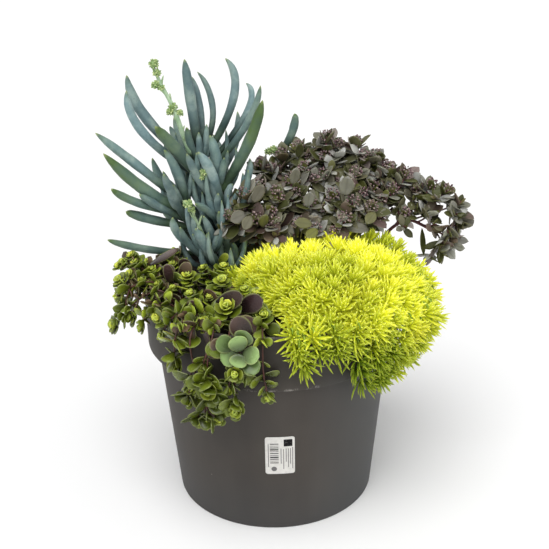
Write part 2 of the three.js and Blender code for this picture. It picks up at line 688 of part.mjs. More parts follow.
/** A point of the cushion's dome, depth inside the needles' tips: turn round it and rise, both radians. */
function cushionPoint(turn, rise, depth) {
  const bite = biteAt(turn);
  return CUSHION_CENTRE.clone().add(new THREE.Vector3(
    (CUSHION_REACH.x - depth) * bite * Math.cos(turn) * Math.cos(rise),
    (CUSHION_REACH.y - depth) * bite * Math.sin(turn) * Math.cos(rise),
    (CUSHION_REACH.z - depth) * Math.sin(rise),
  ));
}

/** The cushion's inner body: a knobbly dome with a flat underside above the rim, on a plug over the soil. */
function cushionCore() {
  const lowest = Math.asin((CUSHION_UNDERSIDE - CUSHION_CENTRE.z) / (CUSHION_REACH.z - CUSHION_CORE_DEPTH));
  const outline = [new THREE.Vector2(0, lowest)];
  for (let i = 0; i < 4; i += 1) outline.push(new THREE.Vector2(1, lowest + (i / 4) * (Math.PI / 2 - lowest)));
  outline.push(new THREE.Vector2(0, Math.PI / 2));
  const geometry = new THREE.LatheGeometry(outline, 16);
  const position = geometry.attributes.position;
  for (let i = 0; i < position.count; i += 1) {
    const share = Math.hypot(position.getX(i), position.getZ(i));
    const turn = Math.atan2(position.getZ(i), position.getX(i));
    const ring = i % outline.length;
    const inset = ring > 1 && ring < 4 && (Math.round(turn / (Math.PI / 8)) + ring) % 2 !== 0 ? CUSHION_KNOBS : 0;
    const point = cushionPoint(turn, position.getY(i), CUSHION_CORE_DEPTH + inset);
    const x = share < 0.5 ? CUSHION_CENTRE.x : point.x;
    const y = share < 0.5 ? CUSHION_CENTRE.y : point.y;
    position.setXYZ(i, x, y, point.z);
  }
  const { x, y, radius } = CUSHION_PLUG;
  return solidOf(geometry).add(prism(x, y, SOIL_TOP + GAP, CUSHION_UNDERSIDE + 4, radius, 16));
}

/** A shoot's needles, which spread from its tip. */
function needles(foot, stalk, axis, turn, length = NEEDLE_LENGTH) {
  const centre = foot.clone().addScaledVector(axis, stalk);
  return (t, margin) => tuft(centre, axis, turn + 0.3 * t, foot, {
    radius: NEEDLE_BALL + margin, length: length * (1 - 0.07 * t) + margin, furthest: -0.15,
  });
}

/** The cushion's shoots: tufts of needles that stand out of the core all over the dome. */
function cushionShoots() {
  const pieces = [];
  for (let s = 0; s < SHOOTS; s += 1) {
    const turn = s * GOLDEN_ANGLE;
    const rise = Math.asin(0.27 + (0.72 * (s + 0.5)) / SHOOTS);
    const foot = cushionPoint(turn, rise, CUSHION_CORE_DEPTH + CUSHION_KNOBS + 3);
    const axis = cushionPoint(turn, rise, 0).sub(foot).normalize();
    pieces.push(needles(foot, SHOOT_STALK + 4 * draw(s, 2), axis, 6 * draw(s, 1)));
  }
  return pieces;
}

// Each spray: [angle of its foot round the pot in degrees, its tip].
const SPRAYS = [
  [-81, [28, -146, 222]],
  [-62, [57, -136, 211]],
  [-51, [82, -122, 181]],
  [-43, [96, -120, 212]],
  [-34, [113, -97, 165]],
  [-25, [141, -72, 188]],
  [-15, [152, -55, 166]],
  [-5, [166, -42, 205]],
  [9, [160, 6, 220]],
];
const SPRAY_FOOT_CIRCLE = 120;
const SPRAY_RADIUS = 1.3;

/** A spray's path: up from the soil, across the rim close under the cushion, and out to its tip. */
function sprayPath(foot, tip) {
  const end = Math.atan2(tip[1], tip[0]);
  const start = THREE.MathUtils.degToRad(foot);
  const on = (radius, share, z) => {
    const turn = start + (end - start) * share;
    return [radius * Math.cos(turn), radius * Math.sin(turn), z];
  };
  return pathThrough([on(SPRAY_FOOT_CIRCLE, 0, FOOT), on(SPRAY_FOOT_CIRCLE, 0, SOIL_TOP + 2),
    on(124, 0.2, 238.8), on(137, 0.5, 239.2), on(143, 0.75, 234), tip]);
}

SPRAYS.forEach(([foot, tip], n) => {
  const shoot = sprayPath(foot, tip);
  const path = spansOf(shoot);
  const outward = new THREE.Vector3(tip[0], tip[1], 0).normalize();
  const axis = path.getTangentAt(1).multiplyScalar(0.6).addScaledVector(outward, 0.7).normalize();
  const end = path.getPointAt(1);
  const pieces = [
    needles(path.getPointAt(1 - 12 / path.getLength()), 4, axis, 6 * draw(n, 31), 12),
    needles(end.clone().addScaledVector(path.getTangentAt(1), -0.6), 3, axis, 6 * draw(n, 33)),
  ];
  plan(`golden_spray_${n + 1}`, [stem(shoot, SPRAY_RADIUS, 3)], pieces, goldLeaf);
});
plan('golden_cushion', [cushionCore()], cushionShoots(), goldLeaf);

plants.forEach(grow);

// Soil: fills the pot to just below its rim, with a plain hole for each stem's foot
const potting = new THREE.MeshStandardMaterial({ color: '#2a211a', roughness: 1 });

/** The soil's section, a gap inside the pot's inner section. */
function soilSection() {
  const shelf = POT_HEIGHT - COLLAR_HEIGHT + WALL;
  const draft = (RIM_RADIUS - COLLAR_FOOT_RADIUS) / COLLAR_HEIGHT;
  const inner = (z) => COLLAR_FOOT_RADIUS - WALL + draft * (z - shelf);
  const outline = [
    [0, WALL + GAP],
    [WALL_FOOT_RADIUS - WALL - 2 * GAP, WALL + GAP],
    [WALL_TOP_RADIUS - WALL - GAP, shelf + GAP],
    [inner(shelf) - 2 * GAP, shelf + GAP],
    [inner(SOIL_TOP) - 2 * GAP, SOIL_TOP],
    [0, SOIL_TOP],
  ];
  return outline.map(([r, z]) => new THREE.Vector2(r, z));
}

let soil = solidOf(new THREE.LatheGeometry(soilSection(), POT_SIDES).rotateX(Math.PI / 2));
const holeAt = (x, y, radius) => (
  prism(x, y, SOIL_TOP - HOLE_DEPTH, SOIL_TOP + 1, (radius + GAP) / Math.cos(Math.PI / 4), 4));
const holes = [
  ...Object.values(BLUE_STEMS).map(([[x, y]]) => holeAt(x, y, BLUE_STEM_RADIUS)),
  ...Object.values(DARK_BRANCHES).map(({ path: [[x, y]] }) => holeAt(x, y, DARK_STEM_RADIUS)),
  ...Object.values(GREEN_STEMS).map(([[x, y]]) => holeAt(x, y, GREEN_STEM_RADIUS)),
  ...SPRAYS.map(([foot]) => {
    const turn = THREE.MathUtils.degToRad(foot);
    return holeAt(SPRAY_FOOT_CIRCLE * Math.cos(turn), SPRAY_FOOT_CIRCLE * Math.sin(turn), SPRAY_RADIUS);
  }),
];
soil = soil.subtract(wasm.Manifold.union(holes));
place('soil', soil, potting);

export default group;
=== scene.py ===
# A mixed planting of four stonecrops in a round plastic pot. The sizes and the tables of stems are
# those of the solid model, in millimetres, and every mesh is written in metres in its frame.
import bpy
import numpy as np
from mathutils import Matrix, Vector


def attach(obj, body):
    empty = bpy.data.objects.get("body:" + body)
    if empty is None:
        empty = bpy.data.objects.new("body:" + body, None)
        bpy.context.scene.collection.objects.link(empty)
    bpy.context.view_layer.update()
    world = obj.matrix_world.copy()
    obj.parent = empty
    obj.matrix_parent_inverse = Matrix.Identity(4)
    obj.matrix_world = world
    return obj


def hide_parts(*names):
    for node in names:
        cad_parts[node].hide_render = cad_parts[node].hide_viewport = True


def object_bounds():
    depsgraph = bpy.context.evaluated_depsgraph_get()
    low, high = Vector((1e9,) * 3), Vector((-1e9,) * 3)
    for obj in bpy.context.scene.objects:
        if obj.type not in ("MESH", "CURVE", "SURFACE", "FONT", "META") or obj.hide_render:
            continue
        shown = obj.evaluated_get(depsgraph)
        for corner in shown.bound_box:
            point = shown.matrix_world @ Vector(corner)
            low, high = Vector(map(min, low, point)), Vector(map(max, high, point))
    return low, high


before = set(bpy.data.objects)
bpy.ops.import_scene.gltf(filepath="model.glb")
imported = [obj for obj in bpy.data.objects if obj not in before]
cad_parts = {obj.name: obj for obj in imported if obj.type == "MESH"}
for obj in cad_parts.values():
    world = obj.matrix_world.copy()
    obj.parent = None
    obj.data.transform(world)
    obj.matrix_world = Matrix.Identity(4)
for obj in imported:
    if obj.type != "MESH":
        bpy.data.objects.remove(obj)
cad_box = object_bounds()
MM = 0.001

# Pot: one injection-moulded piece of satin anthracite polypropylene, with a wide straight collar
# round the top and five drain holes in its floor. It carries everything else.
POT_HEIGHT = 236.0
RIM_RADIUS = 135.0
COLLAR_FOOT_RADIUS = 134.2
COLLAR_FOOT = 177.5
WALL_TOP_RADIUS = 124.4
WALL_FOOT_RADIUS = 107.6
WALL = 3.0
FOOT_ROUNDING = 4.0
EDGE_ROUNDING = 1.2
POT_SIDES = 144
DRAIN_HOLE_RADIUS = 6.0
DRAIN_HOLE_CIRCLE = 72.0
DRAIN_HOLES = 5


def colour(code):
    """Linear RGBA from an sRGB hex code: c / 12.92 below 0.04045, else ((c + 0.055) / 1.055) ** 2.4."""
    srgb = [int(code[i:i + 2], 16) / 255 for i in (1, 3, 5)]
    return [c / 12.92 if c <= 0.04045 else ((c + 0.055) / 1.055) ** 2.4 for c in srgb] + [1.0]


def add(tree, kind, inputs=(), stops=(), **settings):
    """
    Adds a node. Its inputs are a dict by name or a list in the node's own order, and each is a node
    (its first output is linked), a socket, a value or a hex colour. Stops are (place, hex colour).
    """
    made = tree.nodes.new("ShaderNode" + kind)
    for name, value in settings.items():
        setattr(made, name, value)
    for i, (place, code) in enumerate(stops):
        elements = made.color_ramp.elements
        stop = elements[i] if i < 2 else elements.new(place)
        stop.position, stop.color = place, colour(code)
    for name, value in inputs.items() if isinstance(inputs, dict) else enumerate(inputs):
        if isinstance(value, bpy.types.Node):
            value = value.outputs[0]
        if isinstance(value, bpy.types.NodeSocket):
            tree.links.new(value, made.inputs[name])
        else:
            made.inputs[name].default_value = colour(value) if isinstance(value, str) else value
    return made


def finish_named(name, *reads):
    """
    A new material with an empty node tree, the tree, and what the tree reads: place for the object's
    own coordinates, or the name of a value that the mesh stores.
    """
    material = bpy.data.materials.new(name)
    material.use_nodes = True
    tree = material.node_tree
    tree.nodes.clear()
    return material, tree, *[
        add(tree, "TexCoord").outputs["Object"] if key == "place"
        else add(tree, "Attribute", attribute_name=key).outputs["Fac"] for key in reads
    ]


def mesh_of(name, points, triangles, quads, attributes=None, smooth=True):
    """A mesh object from arrays: points in millimetres, triangles and quads as rows of corner numbers."""
    mesh = bpy.data.meshes.new(name)
    mesh.vertices.add(len(points))
    mesh.vertices.foreach_set("co", (np.asarray(points) * MM).astype(np.float32).ravel())
    corners = np.concatenate([np.asarray(triangles).ravel(), np.asarray(quads).ravel()]).astype(np.int32)
    starts = np.concatenate([
        3 * np.arange(len(triangles)), 3 * len(triangles) + 4 * np.arange(len(quads)),
    ]).astype(np.int32)
    mesh.loops.add(len(corners))
    mesh.loops.foreach_set("vertex_index", corners)
    mesh.polygons.add(len(starts))
    mesh.polygons.foreach_set("loop_start", starts)
    mesh.polygons.foreach_set("use_smooth", np.full(len(starts), smooth))
    for key, values in (attributes or {}).items():
        mesh.attributes.new(key, "FLOAT", "POINT").data.foreach_set("value", values.astype(np.float32))
    mesh.update(calc_edges=True)
    made = bpy.data.objects.new(name, mesh)
    bpy.context.scene.collection.objects.link(made)
    return made


def piece(made, material, slot, *nodes):
    """Finishes a piece: its material and the solid nodes that it stands for. The slot is not used."""
    made.data.materials.clear()
    made.data.materials.append(material)
    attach(made, "root")
    if nodes:
        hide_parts(*nodes)
    return made


def turned(profile, sides):
    """A solid of revolution: (r cos a, r sin a, z) for each (r, z) of a profile from the axis to the axis."""
    profile = np.asarray(profile, float)
    ring = profile[1:-1]
    angle = 2 * np.pi * np.arange(sides) / sides
    body = np.stack([
        ring[:, :1] * np.cos(angle), ring[:, :1] * np.sin(angle), np.repeat(ring[:, 1:], sides, axis=1),
    ], axis=-1).reshape(-1, 3)
    points = np.concatenate([[[0, 0, profile[0, 1]]], body, [[0, 0, profile[-1, 1]]]])
    i = np.arange(sides)
    j = (i + 1) % sides
    last = 1 + (len(ring) - 1) * sides
    triangles = np.concatenate([
        np.stack([0 * i, 1 + j, 1 + i], axis=1), np.stack([0 * i + len(points) - 1, last + i, last + j], axis=1),
    ])
    row = (1 + sides * np.arange(len(ring) - 1))[:, None]
    quads = np.stack([row + i, row + j, row + sides + j, row + sides + i], axis=-1).reshape(-1, 4)
    return points, triangles, quads


def bent(start, control, end, t):
    """A bend from start to end that sets out for a control point: (1 - t)² a + 2 t (1 - t) c + t² b."""
    return (1 - t) ** 2 * start + 2 * t * (1 - t) * control + t ** 2 * end


def rounded(corners, radius, steps=5):
    """A profile with its inner corners rounded, each by a short bend."""
    corners = np.asarray(corners, float)
    t = np.linspace(0, 1, steps)[:, None]
    out = [corners[:1]]
    for before, corner, after in zip(corners, corners[1:], corners[2:]):
        a = corner + (before - corner) * min(0.45, radius / np.linalg.norm(before - corner))
        b = corner + (after - corner) * min(0.45, radius / np.linalg.norm(after - corner))
        out.append(bent(a, corner, b, t))
    return np.concatenate([*out, corners[-1:]])


pot_profile = rounded([
    [0, 0],
    [WALL_FOOT_RADIUS, 0],
    [WALL_TOP_RADIUS, COLLAR_FOOT],
    [COLLAR_FOOT_RADIUS, COLLAR_FOOT],
    [RIM_RADIUS, POT_HEIGHT],
    [RIM_RADIUS - WALL, POT_HEIGHT],
    [COLLAR_FOOT_RADIUS - WALL, COLLAR_FOOT + WALL],
    [WALL_TOP_RADIUS - WALL, COLLAR_FOOT + WALL],
    [WALL_FOOT_RADIUS - WALL, WALL],
    [0, WALL],
], EDGE_ROUNDING)
pot = mesh_of("pot_body", *turned(pot_profile, POT_SIDES))
drills = []
for turn in np.arange(DRAIN_HOLES) * 2 * np.pi / DRAIN_HOLES:
    points, triangles, quads = turned(
        [[0, -2], [DRAIN_HOLE_RADIUS, -2], [DRAIN_HOLE_RADIUS, WALL + 2], [0, WALL + 2]], 24)
    points[:, :2] += DRAIN_HOLE_CIRCLE * np.array([np.cos(turn), np.sin(turn)])
    drills.append(mesh_of("drain_drill", points, triangles, quads))
for drill in drills:
    cut = pot.modifiers.new("drain_hole", "BOOLEAN")
    cut.object, cut.operation, cut.solver = drill, "DIFFERENCE", "EXACT"
shape = bpy.data.meshes.new_from_object(pot.evaluated_get(bpy.context.evaluated_depsgraph_get()))
pot.modifiers.clear()
pot.data = shape
for drill in drills:
    bpy.data.objects.remove(drill)
pot.data.polygons.foreach_set("use_smooth", np.full(len(pot.data.polygons), True))
pot.data.set_sharp_from_angle(angle=np.radians(40))

# Injection-moulded polypropylene: a satin skin that is warmer and cooler in broad clouds, with painted
# shade, a little warm, over the collar, with pale scuffs along the collar's lower edge and a few specks.
pot_plastic, tree, place = finish_named("moulded_polypropylene", "place")
at_x, _, at_z = add(tree, "SeparateXYZ", [place]).outputs
clouds = add(tree, "TexNoise", {"Vector": place, "Scale": 9.0, "Detail": 3.0, "Roughness": 0.6})
streaks_at = add(tree, "Mapping", {"Vector": place, "Scale": (26.0, 26.0, 3.0)})
streaks = add(tree, "TexNoise", {"Vector": streaks_at, "Scale": 1.0, "Detail": 4.0})
base = add(tree, "ValToRGB", [clouds], stops=[(0.3, "#3B3733"), (0.7, "#47423D")])
streaked = add(tree, "MixRGB", [0.3, base, streaks], blend_type="OVERLAY")
low = add(tree, "MapRange", [at_z, 0.0, 0.075, 0.45, 0.0])
cooler = add(tree, "MixRGB", [low, streaked, "#424446"])
# Painted light: the right side turns a paler, bluer grey.
side = add(tree, "MapRange", [at_x, 0.03, 0.13, 0.0, 0.7])
lit_right_side = add(tree, "MixRGB", [side, cooler, "#4E5153"])
# Painted shade: from its foot up, the collar is mixed half way to a warm dark grey, where the plants shade it.
up_on_collar = add(tree, "MapRange", [at_z, 0.177, 0.19, 0.0, 0.5])
shaded_collar = add(tree, "MixRGB", [up_on_collar, lit_right_side, "#2F2C27"])
edge = add(tree, "Math", [at_z, COLLAR_FOOT * MM + 0.0006], operation="SUBTRACT")
edge_off = add(tree, "Math", [edge], operation="ABSOLUTE")
on_edge = add(tree, "MapRange", [edge_off, 0.0, 0.003, 1.0, 0.0])
scuff_noise = add(tree, "TexNoise", {"Vector": place, "Scale": 55.0, "Detail": 6.0, "Roughness": 0.75})
scuff_mask = add(tree, "MapRange", [scuff_noise, 0.54, 0.62])
scuffs = add(tree, "Math", [scuff_mask, on_edge], operation="MULTIPLY")
speck_noise = add(tree, "TexVoronoi", {"Vector": place, "Scale": 42.0, "Randomness": 1.0}, feature="F1")
specks = add(tree, "MapRange", [speck_noise, 0.02, 0.045, 0.55, 0.0])
speck_pick = add(tree, "MapRange", [scuff_noise, 0.5, 0.56])
few_specks = add(tree, "Math", [specks, speck_pick], operation="MULTIPLY")
marks = add(tree, "Math", [scuffs, few_specks], operation="MAXIMUM")
marked = add(tree, "MixRGB", [marks, shaded_collar, "#8C8882"])
# Painted highlight: a paler line along the lip at the top of the rim.
lip_near = add(tree, "MapRange", [at_z, 0.2315, 0.2362, 0.0, 0.55])
lit_lip = add(tree, "MixRGB", [lip_near, marked, "#63605B"])
rough = add(tree, "MapRange", [clouds, 0.3, 0.7, 0.56, 0.68])
grain = add(tree, "TexNoise", {"Vector": place, "Scale": 900.0, "Detail": 2.0})
bump = add(tree, "Bump", {"Height": grain, "Strength": 0.12, "Distance": 0.0004})
skin = add(tree, "BsdfPrincipled", {
    "Base Color": lit_lip, "Roughness": rough, "IOR": 1.49, "Specular IOR Level": 0.26, "Normal": bump,
})
add(tree, "OutputMaterial", [skin])
piece(pot, pot_plastic, "plastic", "pot")

# Label: a small coated-paper sticker on the front of the wall, with rounded corners. Its marks are
# plain bars, a dark square, a grey disc and ruled lines, with nothing to read.
LABEL_WIDTH = 30.0
LABEL_HEIGHT = 46.0
LABEL_MIDDLE_X = 4.6
LABEL_MIDDLE_Z = 95.0
LABEL_CORNER = 2.6
LABEL_PROUD = 0.3
LABEL_THICK = 0.3
INK_PROUD = 0.61
INK_THICK = 0.03


def wall_radius(z):
    """Radius of the pot's wall at height z, straight from its foot to the collar."""
    spread = WALL_TOP_RADIUS - WALL_FOOT_RADIUS
    return WALL_FOOT_RADIUS + spread * (z - FOOT_ROUNDING) / (COLLAR_FOOT - FOOT_ROUNDING)


def on_wall(across, up, proud):
    """Millimetres across and up from the label's middle, laid on the wall: x = R sin a, y = -R cos a."""
    radius = wall_radius(LABEL_MIDDLE_Z + up) + proud
    turn = (LABEL_MIDDLE_X + across) / radius
    return np.stack([radius * np.sin(turn), -radius * np.cos(turn), LABEL_MIDDLE_Z + up], axis=-1)


def sticker(across, up, width, height, corner, proud=INK_PROUD, thick=INK_THICK):
    """A closed thin sheet bent round the wall, of half width w - c + sqrt(c² - (|v| - h + c)²) at height v."""
    half = height / 2
    v = np.concatenate([-half + corner * (1 - np.cos(np.linspace(0.02, np.pi / 2, 7))),
                        half - corner * (1 - np.cos(np.linspace(np.pi / 2, 0.02, 7)))])
    into = np.clip(np.abs(v) - half + corner, 0, corner)
    reach = width / 2 - corner + np.sqrt(np.maximum(corner ** 2 - into ** 2, 0))
    u = np.linspace(-1, 1, 17)
    level = up + np.repeat(v[:, None], len(u), axis=1)
    sheets = [on_wall(across + reach[:, None] * u, level, off) for off in (proud + thick, proud)]
    rows, columns = level.shape
    points = np.concatenate(sheets).reshape(-1, 3)
    at = np.arange(rows * columns).reshape(rows, columns)
    front = np.stack([at[:-1, :-1], at[:-1, 1:], at[1:, 1:], at[1:, :-1]], axis=-1).reshape(-1, 4)
    rear = front[:, ::-1] + rows * columns
    rim = np.concatenate([at[0, :-1], at[:-1, -1], at[-1, :0:-1], at[:0:-1, 0]])
    after = np.roll(rim, -1)
    wall = np.stack([rim, rim + rows * columns, after + rows * columns, after], axis=-1)
    return points, np.concatenate([front, rear, wall])


def one_mesh(name, solids):
    """One flat-shaded mesh object from a list of (points, quads)."""
    starts = np.cumsum([0, *[len(points) for points, _ in solids]])
    quads = np.concatenate([quads + start for (_, quads), start in zip(solids, starts)])
    points = np.concatenate([points for points, _ in solids])
    return mesh_of(name, points, np.zeros((0, 3), int), quads, smooth=False)


def mottled(name, noise, ramp, **more):
    """A new material whose colour runs over a ramp with a fine noise. More are inputs of its skin."""
    material, tree, place = finish_named(name, "place")
    cloud = add(tree, "TexNoise", {"Vector": place, **noise})
    hue = add(tree, "ValToRGB", [cloud], stops=ramp)
    skin = add(tree, "BsdfPrincipled", {"Base Color": hue, **more})
    add(tree, "OutputMaterial", [skin])
    return material


# Coated paper: smooth and faintly uneven, with a soft sheen.
coated_paper = mottled("coated_paper", {"Scale": 300.0, "Detail": 3.0}, [(0.3, "#CCCAC5"), (0.7, "#D9D7D2")],
                       Roughness=0.45, IOR=1.5)
paper = sticker(0, 0, LABEL_WIDTH, LABEL_HEIGHT, LABEL_CORNER, LABEL_PROUD, LABEL_THICK)
piece(one_mesh("label_paper", [paper]), coated_paper, "paper", "label")

# Printing on the label: matt ink a hair proud of the paper. A column of bars and a square are black,
# and a disc and seven ruled lines are grey.
BAR_THICKNESSES = [1.0, 0.6, 1.0, 1.6, 0.6, 1.0, 0.6, 1.6, 1.0, 0.6, 1.0]
BAR_STEP = 2.35
BAR_WIDTH = 8.6
RULE_WIDTH = 0.75
MARK_CORNER = 0.1
# Each ruled line: millimetres across from the label's middle, and its lower and upper end.
RULES = [(-11.8, -14, 15), (1.0, -10, 9), (3.6, -17, 8), (6.2, -8, 8.6), (8.4, -15, 8.6), (10.6, -11, 8.6),
         (12.8, -17, 10)]
ink_marks = [sticker(8.2, 15.6, 8.8, 8.6, 0.3)]
for step, thick in enumerate(BAR_THICKNESSES):
    ink_marks.append(sticker(-5.8, 14.6 - BAR_STEP * step, BAR_WIDTH, thick, MARK_CORNER))
grey_marks = [sticker(-6.2, -16.6, 5.6, 5.6, 2.7)]
for across, low, high in RULES:
    grey_marks.append(sticker(across, (low + high) / 2, RULE_WIDTH, high - low, MARK_CORNER))
# Ink is flat and matt, and thin in small patches that show grey.
for name, marks_on, code in [("label_bars", ink_marks, "#111011"), ("label_rules", grey_marks, "#6C6A6A")]:
    ink, tree, place = finish_named(f"printing_ink_{name[6:]}", "place")
    wear = add(tree, "TexNoise", {"Vector": place, "Scale": 700.0, "Detail": 2.0})
    thin = add(tree, "MapRange", [wear, 0.56, 0.8, 0.0, 0.4])
    faded = add(tree, "MixRGB", [thin, code, "#8A8885"])
    skin = add(tree, "BsdfPrincipled", {"Base Color": faded, "Roughness": 0.8, "Specular IOR Level": 0.15})
    add(tree, "OutputMaterial", [skin])
    piece(one_mesh(name, marks_on), ink, "paper")

# Soil: dark potting mix of bark and peat, filled to just below the rim and crumbly on top, with loose
# bits of bark and a few grains of perlite.
SOIL_TOP = 222.0
SOIL_GAP = 0.3
SOIL_SIDES = 180
CRUMB_TURN = 6.28
FULL_TURN = 6.283


def draw(a, b):
    """The solid model's fixed draws from 0 up to 1: the fraction of sin(12.9898 a + 78.233 b) 43758.5453."""
    wave = np.sin(np.asarray(a) * 12.9898 + np.asarray(b) * 78.233) * 43758.5453
    return wave - np.floor(wave)


def crumble(x, y):
    """Height of the soil's crumbs over the plane: a sum of crossed sine waves from 40 mm down to 4 mm long."""
    height = 0
    for i, (size, rise) in enumerate([(40, 1.1), (23, 0.8), (13, 0.7), (8, 0.55), (5, 0.4), (4, 0.3)]):
        a, b = 2.4 * i, 1.7 * i + 0.5
        height = height + rise * np.sin((x * np.cos(a) + y * np.sin(a)) * CRUMB_TURN / size + b) * np.sin(
            (y * np.cos(b) - x * np.sin(b)) * CRUMB_TURN / size + a)
    return height


soil_inner = RIM_RADIUS - 0.4 - WALL - 2 * SOIL_GAP
soil_rings = np.linspace(0, soil_inner, 90)[1:][::-1]
soil_profile = np.concatenate([
    [[0, WALL + SOIL_GAP], [WALL_FOOT_RADIUS - WALL - 2 * SOIL_GAP, WALL + SOIL_GAP],
     [WALL_TOP_RADIUS - WALL - SOIL_GAP, COLLAR_FOOT + WALL + SOIL_GAP],
     [COLLAR_FOOT_RADIUS - WALL - 2 * SOIL_GAP, COLLAR_FOOT + WALL + SOIL_GAP]],
    np.stack([soil_rings, np.full(len(soil_rings), SOIL_TOP)], axis=1), [[0, SOIL_TOP]],
])
soil_points, soil_triangles, soil_quads = turned(soil_profile, SOIL_SIDES)
crumbs = (soil_points[:, 2] > SOIL_TOP - 1) & (np.hypot(soil_points[:, 0], soil_points[:, 1]) < soil_inner - 0.5)
soil_points[crumbs, 2] += crumble(soil_points[crumbs, 0], soil_points[crumbs, 1]) - 1.5
soil = mesh_of("soil_fill", soil_points, soil_triangles, soil_quads)
# Peat and composted bark: dark, dull and lumpy, with paler brown flecks.
potting_mix, tree, place = finish_named("bark_potting_mix", "place")
lumps = add(tree, "TexNoise", {"Vector": place, "Scale": 120.0, "Detail": 5.0, "Roughness": 0.7})
flecks = add(tree, "TexVoronoi", {"Vector": place, "Scale": 210.0}, feature="F1")
earth = add(tree, "ValToRGB", [lumps], stops=[(0.3, "#140F0B"), (0.55, "#2A211A"), (0.75, "#46382A")])
fleck = add(tree, "MapRange", [flecks, 0.1, 0.25, 0.4, 0.0])
flecked = add(tree, "MixRGB", [fleck, earth, "#5A4734"])
bump = add(tree, "Bump", {"Height": lumps, "Strength": 0.6, "Distance": 0.002})
skin = add(tree, "BsdfPrincipled", {"Base Color": flecked, "Roughness": 0.95, "Normal": bump})
add(tree, "OutputMaterial", [skin])
piece(soil, potting_mix, "potting_mix", "soil")


def unit(v):
    """Vectors of length 1."""
    return v / np.maximum(np.linalg.norm(v, axis=-1, keepdims=True), 1e-9)


def swept(line, side, wide, thick, sides, cup=0.0):
    """
    Closed solids round centre lines, one for each row of line. A ring's point at angle a is
    line + side w cos a + lift (h sin a + cup w cos² a), with lift = side x tangent, and the two end
    rings shrink to single points. Returns the points of each solid, all triangles and quads and, for
    each point, how far along the line it lies and how near to the edge.
    """
    count, rings = line.shape[:2]
    tangent = unit(np.gradient(line, axis=1))
    side = np.broadcast_to(side[:, None], line.shape)
    side = unit(side - tangent * np.sum(side * tangent, axis=-1, keepdims=True))
    lift = np.cross(side, tangent)
    wide, thick = wide[..., None], thick[..., None]
    angle = 2 * np.pi * np.arange(sides) / sides
    out, up = np.cos(angle), np.sin(angle)
    ring = (line[:, :, None] + side[:, :, None] * (wide * out)[..., None]
            + lift[:, :, None] * (thick * up + cup * wide * out ** 2)[..., None])
    points = np.concatenate([line[:, :1], ring[:, 1:-1].reshape(count, -1, 3), line[:, -1:]], axis=1)
    i = np.arange(sides)
    j = (i + 1) % sides
    last = 1 + (rings - 3) * sides
    triangles = np.concatenate([
        np.stack([0 * i, 1 + i, 1 + j], axis=1), np.stack([0 * i + last + sides, last + j, last + i], axis=1),
    ])
    row = (1 + sides * np.arange(rings - 3))[:, None]
    quads = np.stack([row + i, row + sides + i, row + sides + j, row + j], axis=-1).reshape(-1, 4)
    offsets = (np.arange(count) * points.shape[1])[:, None, None]
    t = np.linspace(0, 1, rings)
    along = np.concatenate([[0], np.repeat(t[1:-1], sides), [1]])
    near_edge = np.concatenate([[0], np.tile(np.abs(out), rings - 2), [1]])
    return (points, (triangles + offsets).reshape(-1, 3), (quads + offsets).reshape(-1, 4),
            np.tile(along, count), np.tile(near_edge, count))


low_corner, high_corner = [np.array(corner) / MM for corner in cad_box]


def grown(name, batches, material, slot, *nodes):
    """
    One piece from batches of swept solids. A batch is (swept result, tone, kind), with one tone and
    kind for all its solids or for each. Points are held inside the solid model's box.
    """
    rows, start = [], 0
    for (points, triangles, quads, along, near_edge), tone, kind in batches:
        count, each = points.shape[:2]
        tone, kind = [np.repeat(np.broadcast_to(value, count), each) for value in (tone, kind)]
        rows.append((points.reshape(-1, 3), triangles + start, quads + start, along, near_edge, tone, kind))
        start += count * each
    points, triangles, quads, *values = [np.concatenate(row) for row in zip(*rows)]
    points = np.clip(points, low_corner + 0.01, high_corner - 0.01)
    made = mesh_of(name, points, triangles, quads, dict(zip(("along", "edge", "tone", "kind"), values)))
    return piece(made, material, slot, *nodes)


# Loose bark bits and perlite on the soil, each a small faceted lump half sunk in it.
BITS = 520
BIT_REACH = 128.0
bit = np.arange(BITS)
turn, out = FULL_TURN * draw(bit, 1), BIT_REACH * np.sqrt(draw(bit, 2))
x, y = out * np.cos(turn), out * np.sin(turn)
size = 1.2 + 3.4 * draw(bit, 3) ** 2
heading = FULL_TURN * draw(bit, 4)
along_bit = np.stack([np.cos(heading), np.sin(heading), 0.5 * (draw(bit, 5) - 0.5)], axis=1)
middle = np.stack([x, y, SOIL_TOP - 1.2 + crumble(x, y) + 0.25 * size], axis=1)
t = np.linspace(-1, 1, 5)
line = middle[:, None] + along_bit[:, None] * (size * (1 + draw(bit, 6)))[:, None, None] * t[None, :, None]
girth = np.array([0, 0.8, 1, 0.7, 0]) * (size * 0.62)[:, None]
perlite = (draw(bit, 7) > 0.93).astype(float)
# Bark is dull and runs from dark brown to tan. Perlite is a chalky off-white.
bark_bits, tree, kind, tone = finish_named("bark_and_perlite", "kind", "tone")
bark = add(tree, "ValToRGB", [tone], stops=[(0.0, "#1E1711"), (0.6, "#4A3526"), (1.0, "#6E5440")])
grains = add(tree, "MixRGB", [kind, bark, "#C9C4B8"])
skin = add(tree, "BsdfPrincipled", {"Base Color": grains, "Roughness": 0.9})
add(tree, "OutputMaterial", [skin])
bit_solids = swept(line, np.cross(along_bit, [0.0, 0, 1]), girth, girth * 0.6, 6)
grown("soil_bark_bits", [(bit_solids, draw(bit, 8), perlite)], bark_bits, "potting_mix")


# Blue stonecrop: thick upright stems with long round leaves that taper to a point and curve up and
# out. The skin is grey-green under a chalky wax bloom, which is rubbed to olive at many tips.
FOOT = 210.3
BLUE_STEM_RADIUS = 4.5
BLUE_STEMS = {
    "main": [[-40, 46], [-50, 47, 290], [-70, 48, 340], [-74, 49, 356]],
    "left": [[-58, 30], [-76, 33, 258], [-88, 35, 300], [-92, 36, 318]],
    "front": [[-50, 16], [-58, 18, 250], [-66, 20, 268]],
    "right": [[-36, 33], [-44, 34, 250], [-52, 36, 300], [-57, 38, 334]],
    "back": [[20, 92], [12, 95, 300], [6, 97, 346]],
}
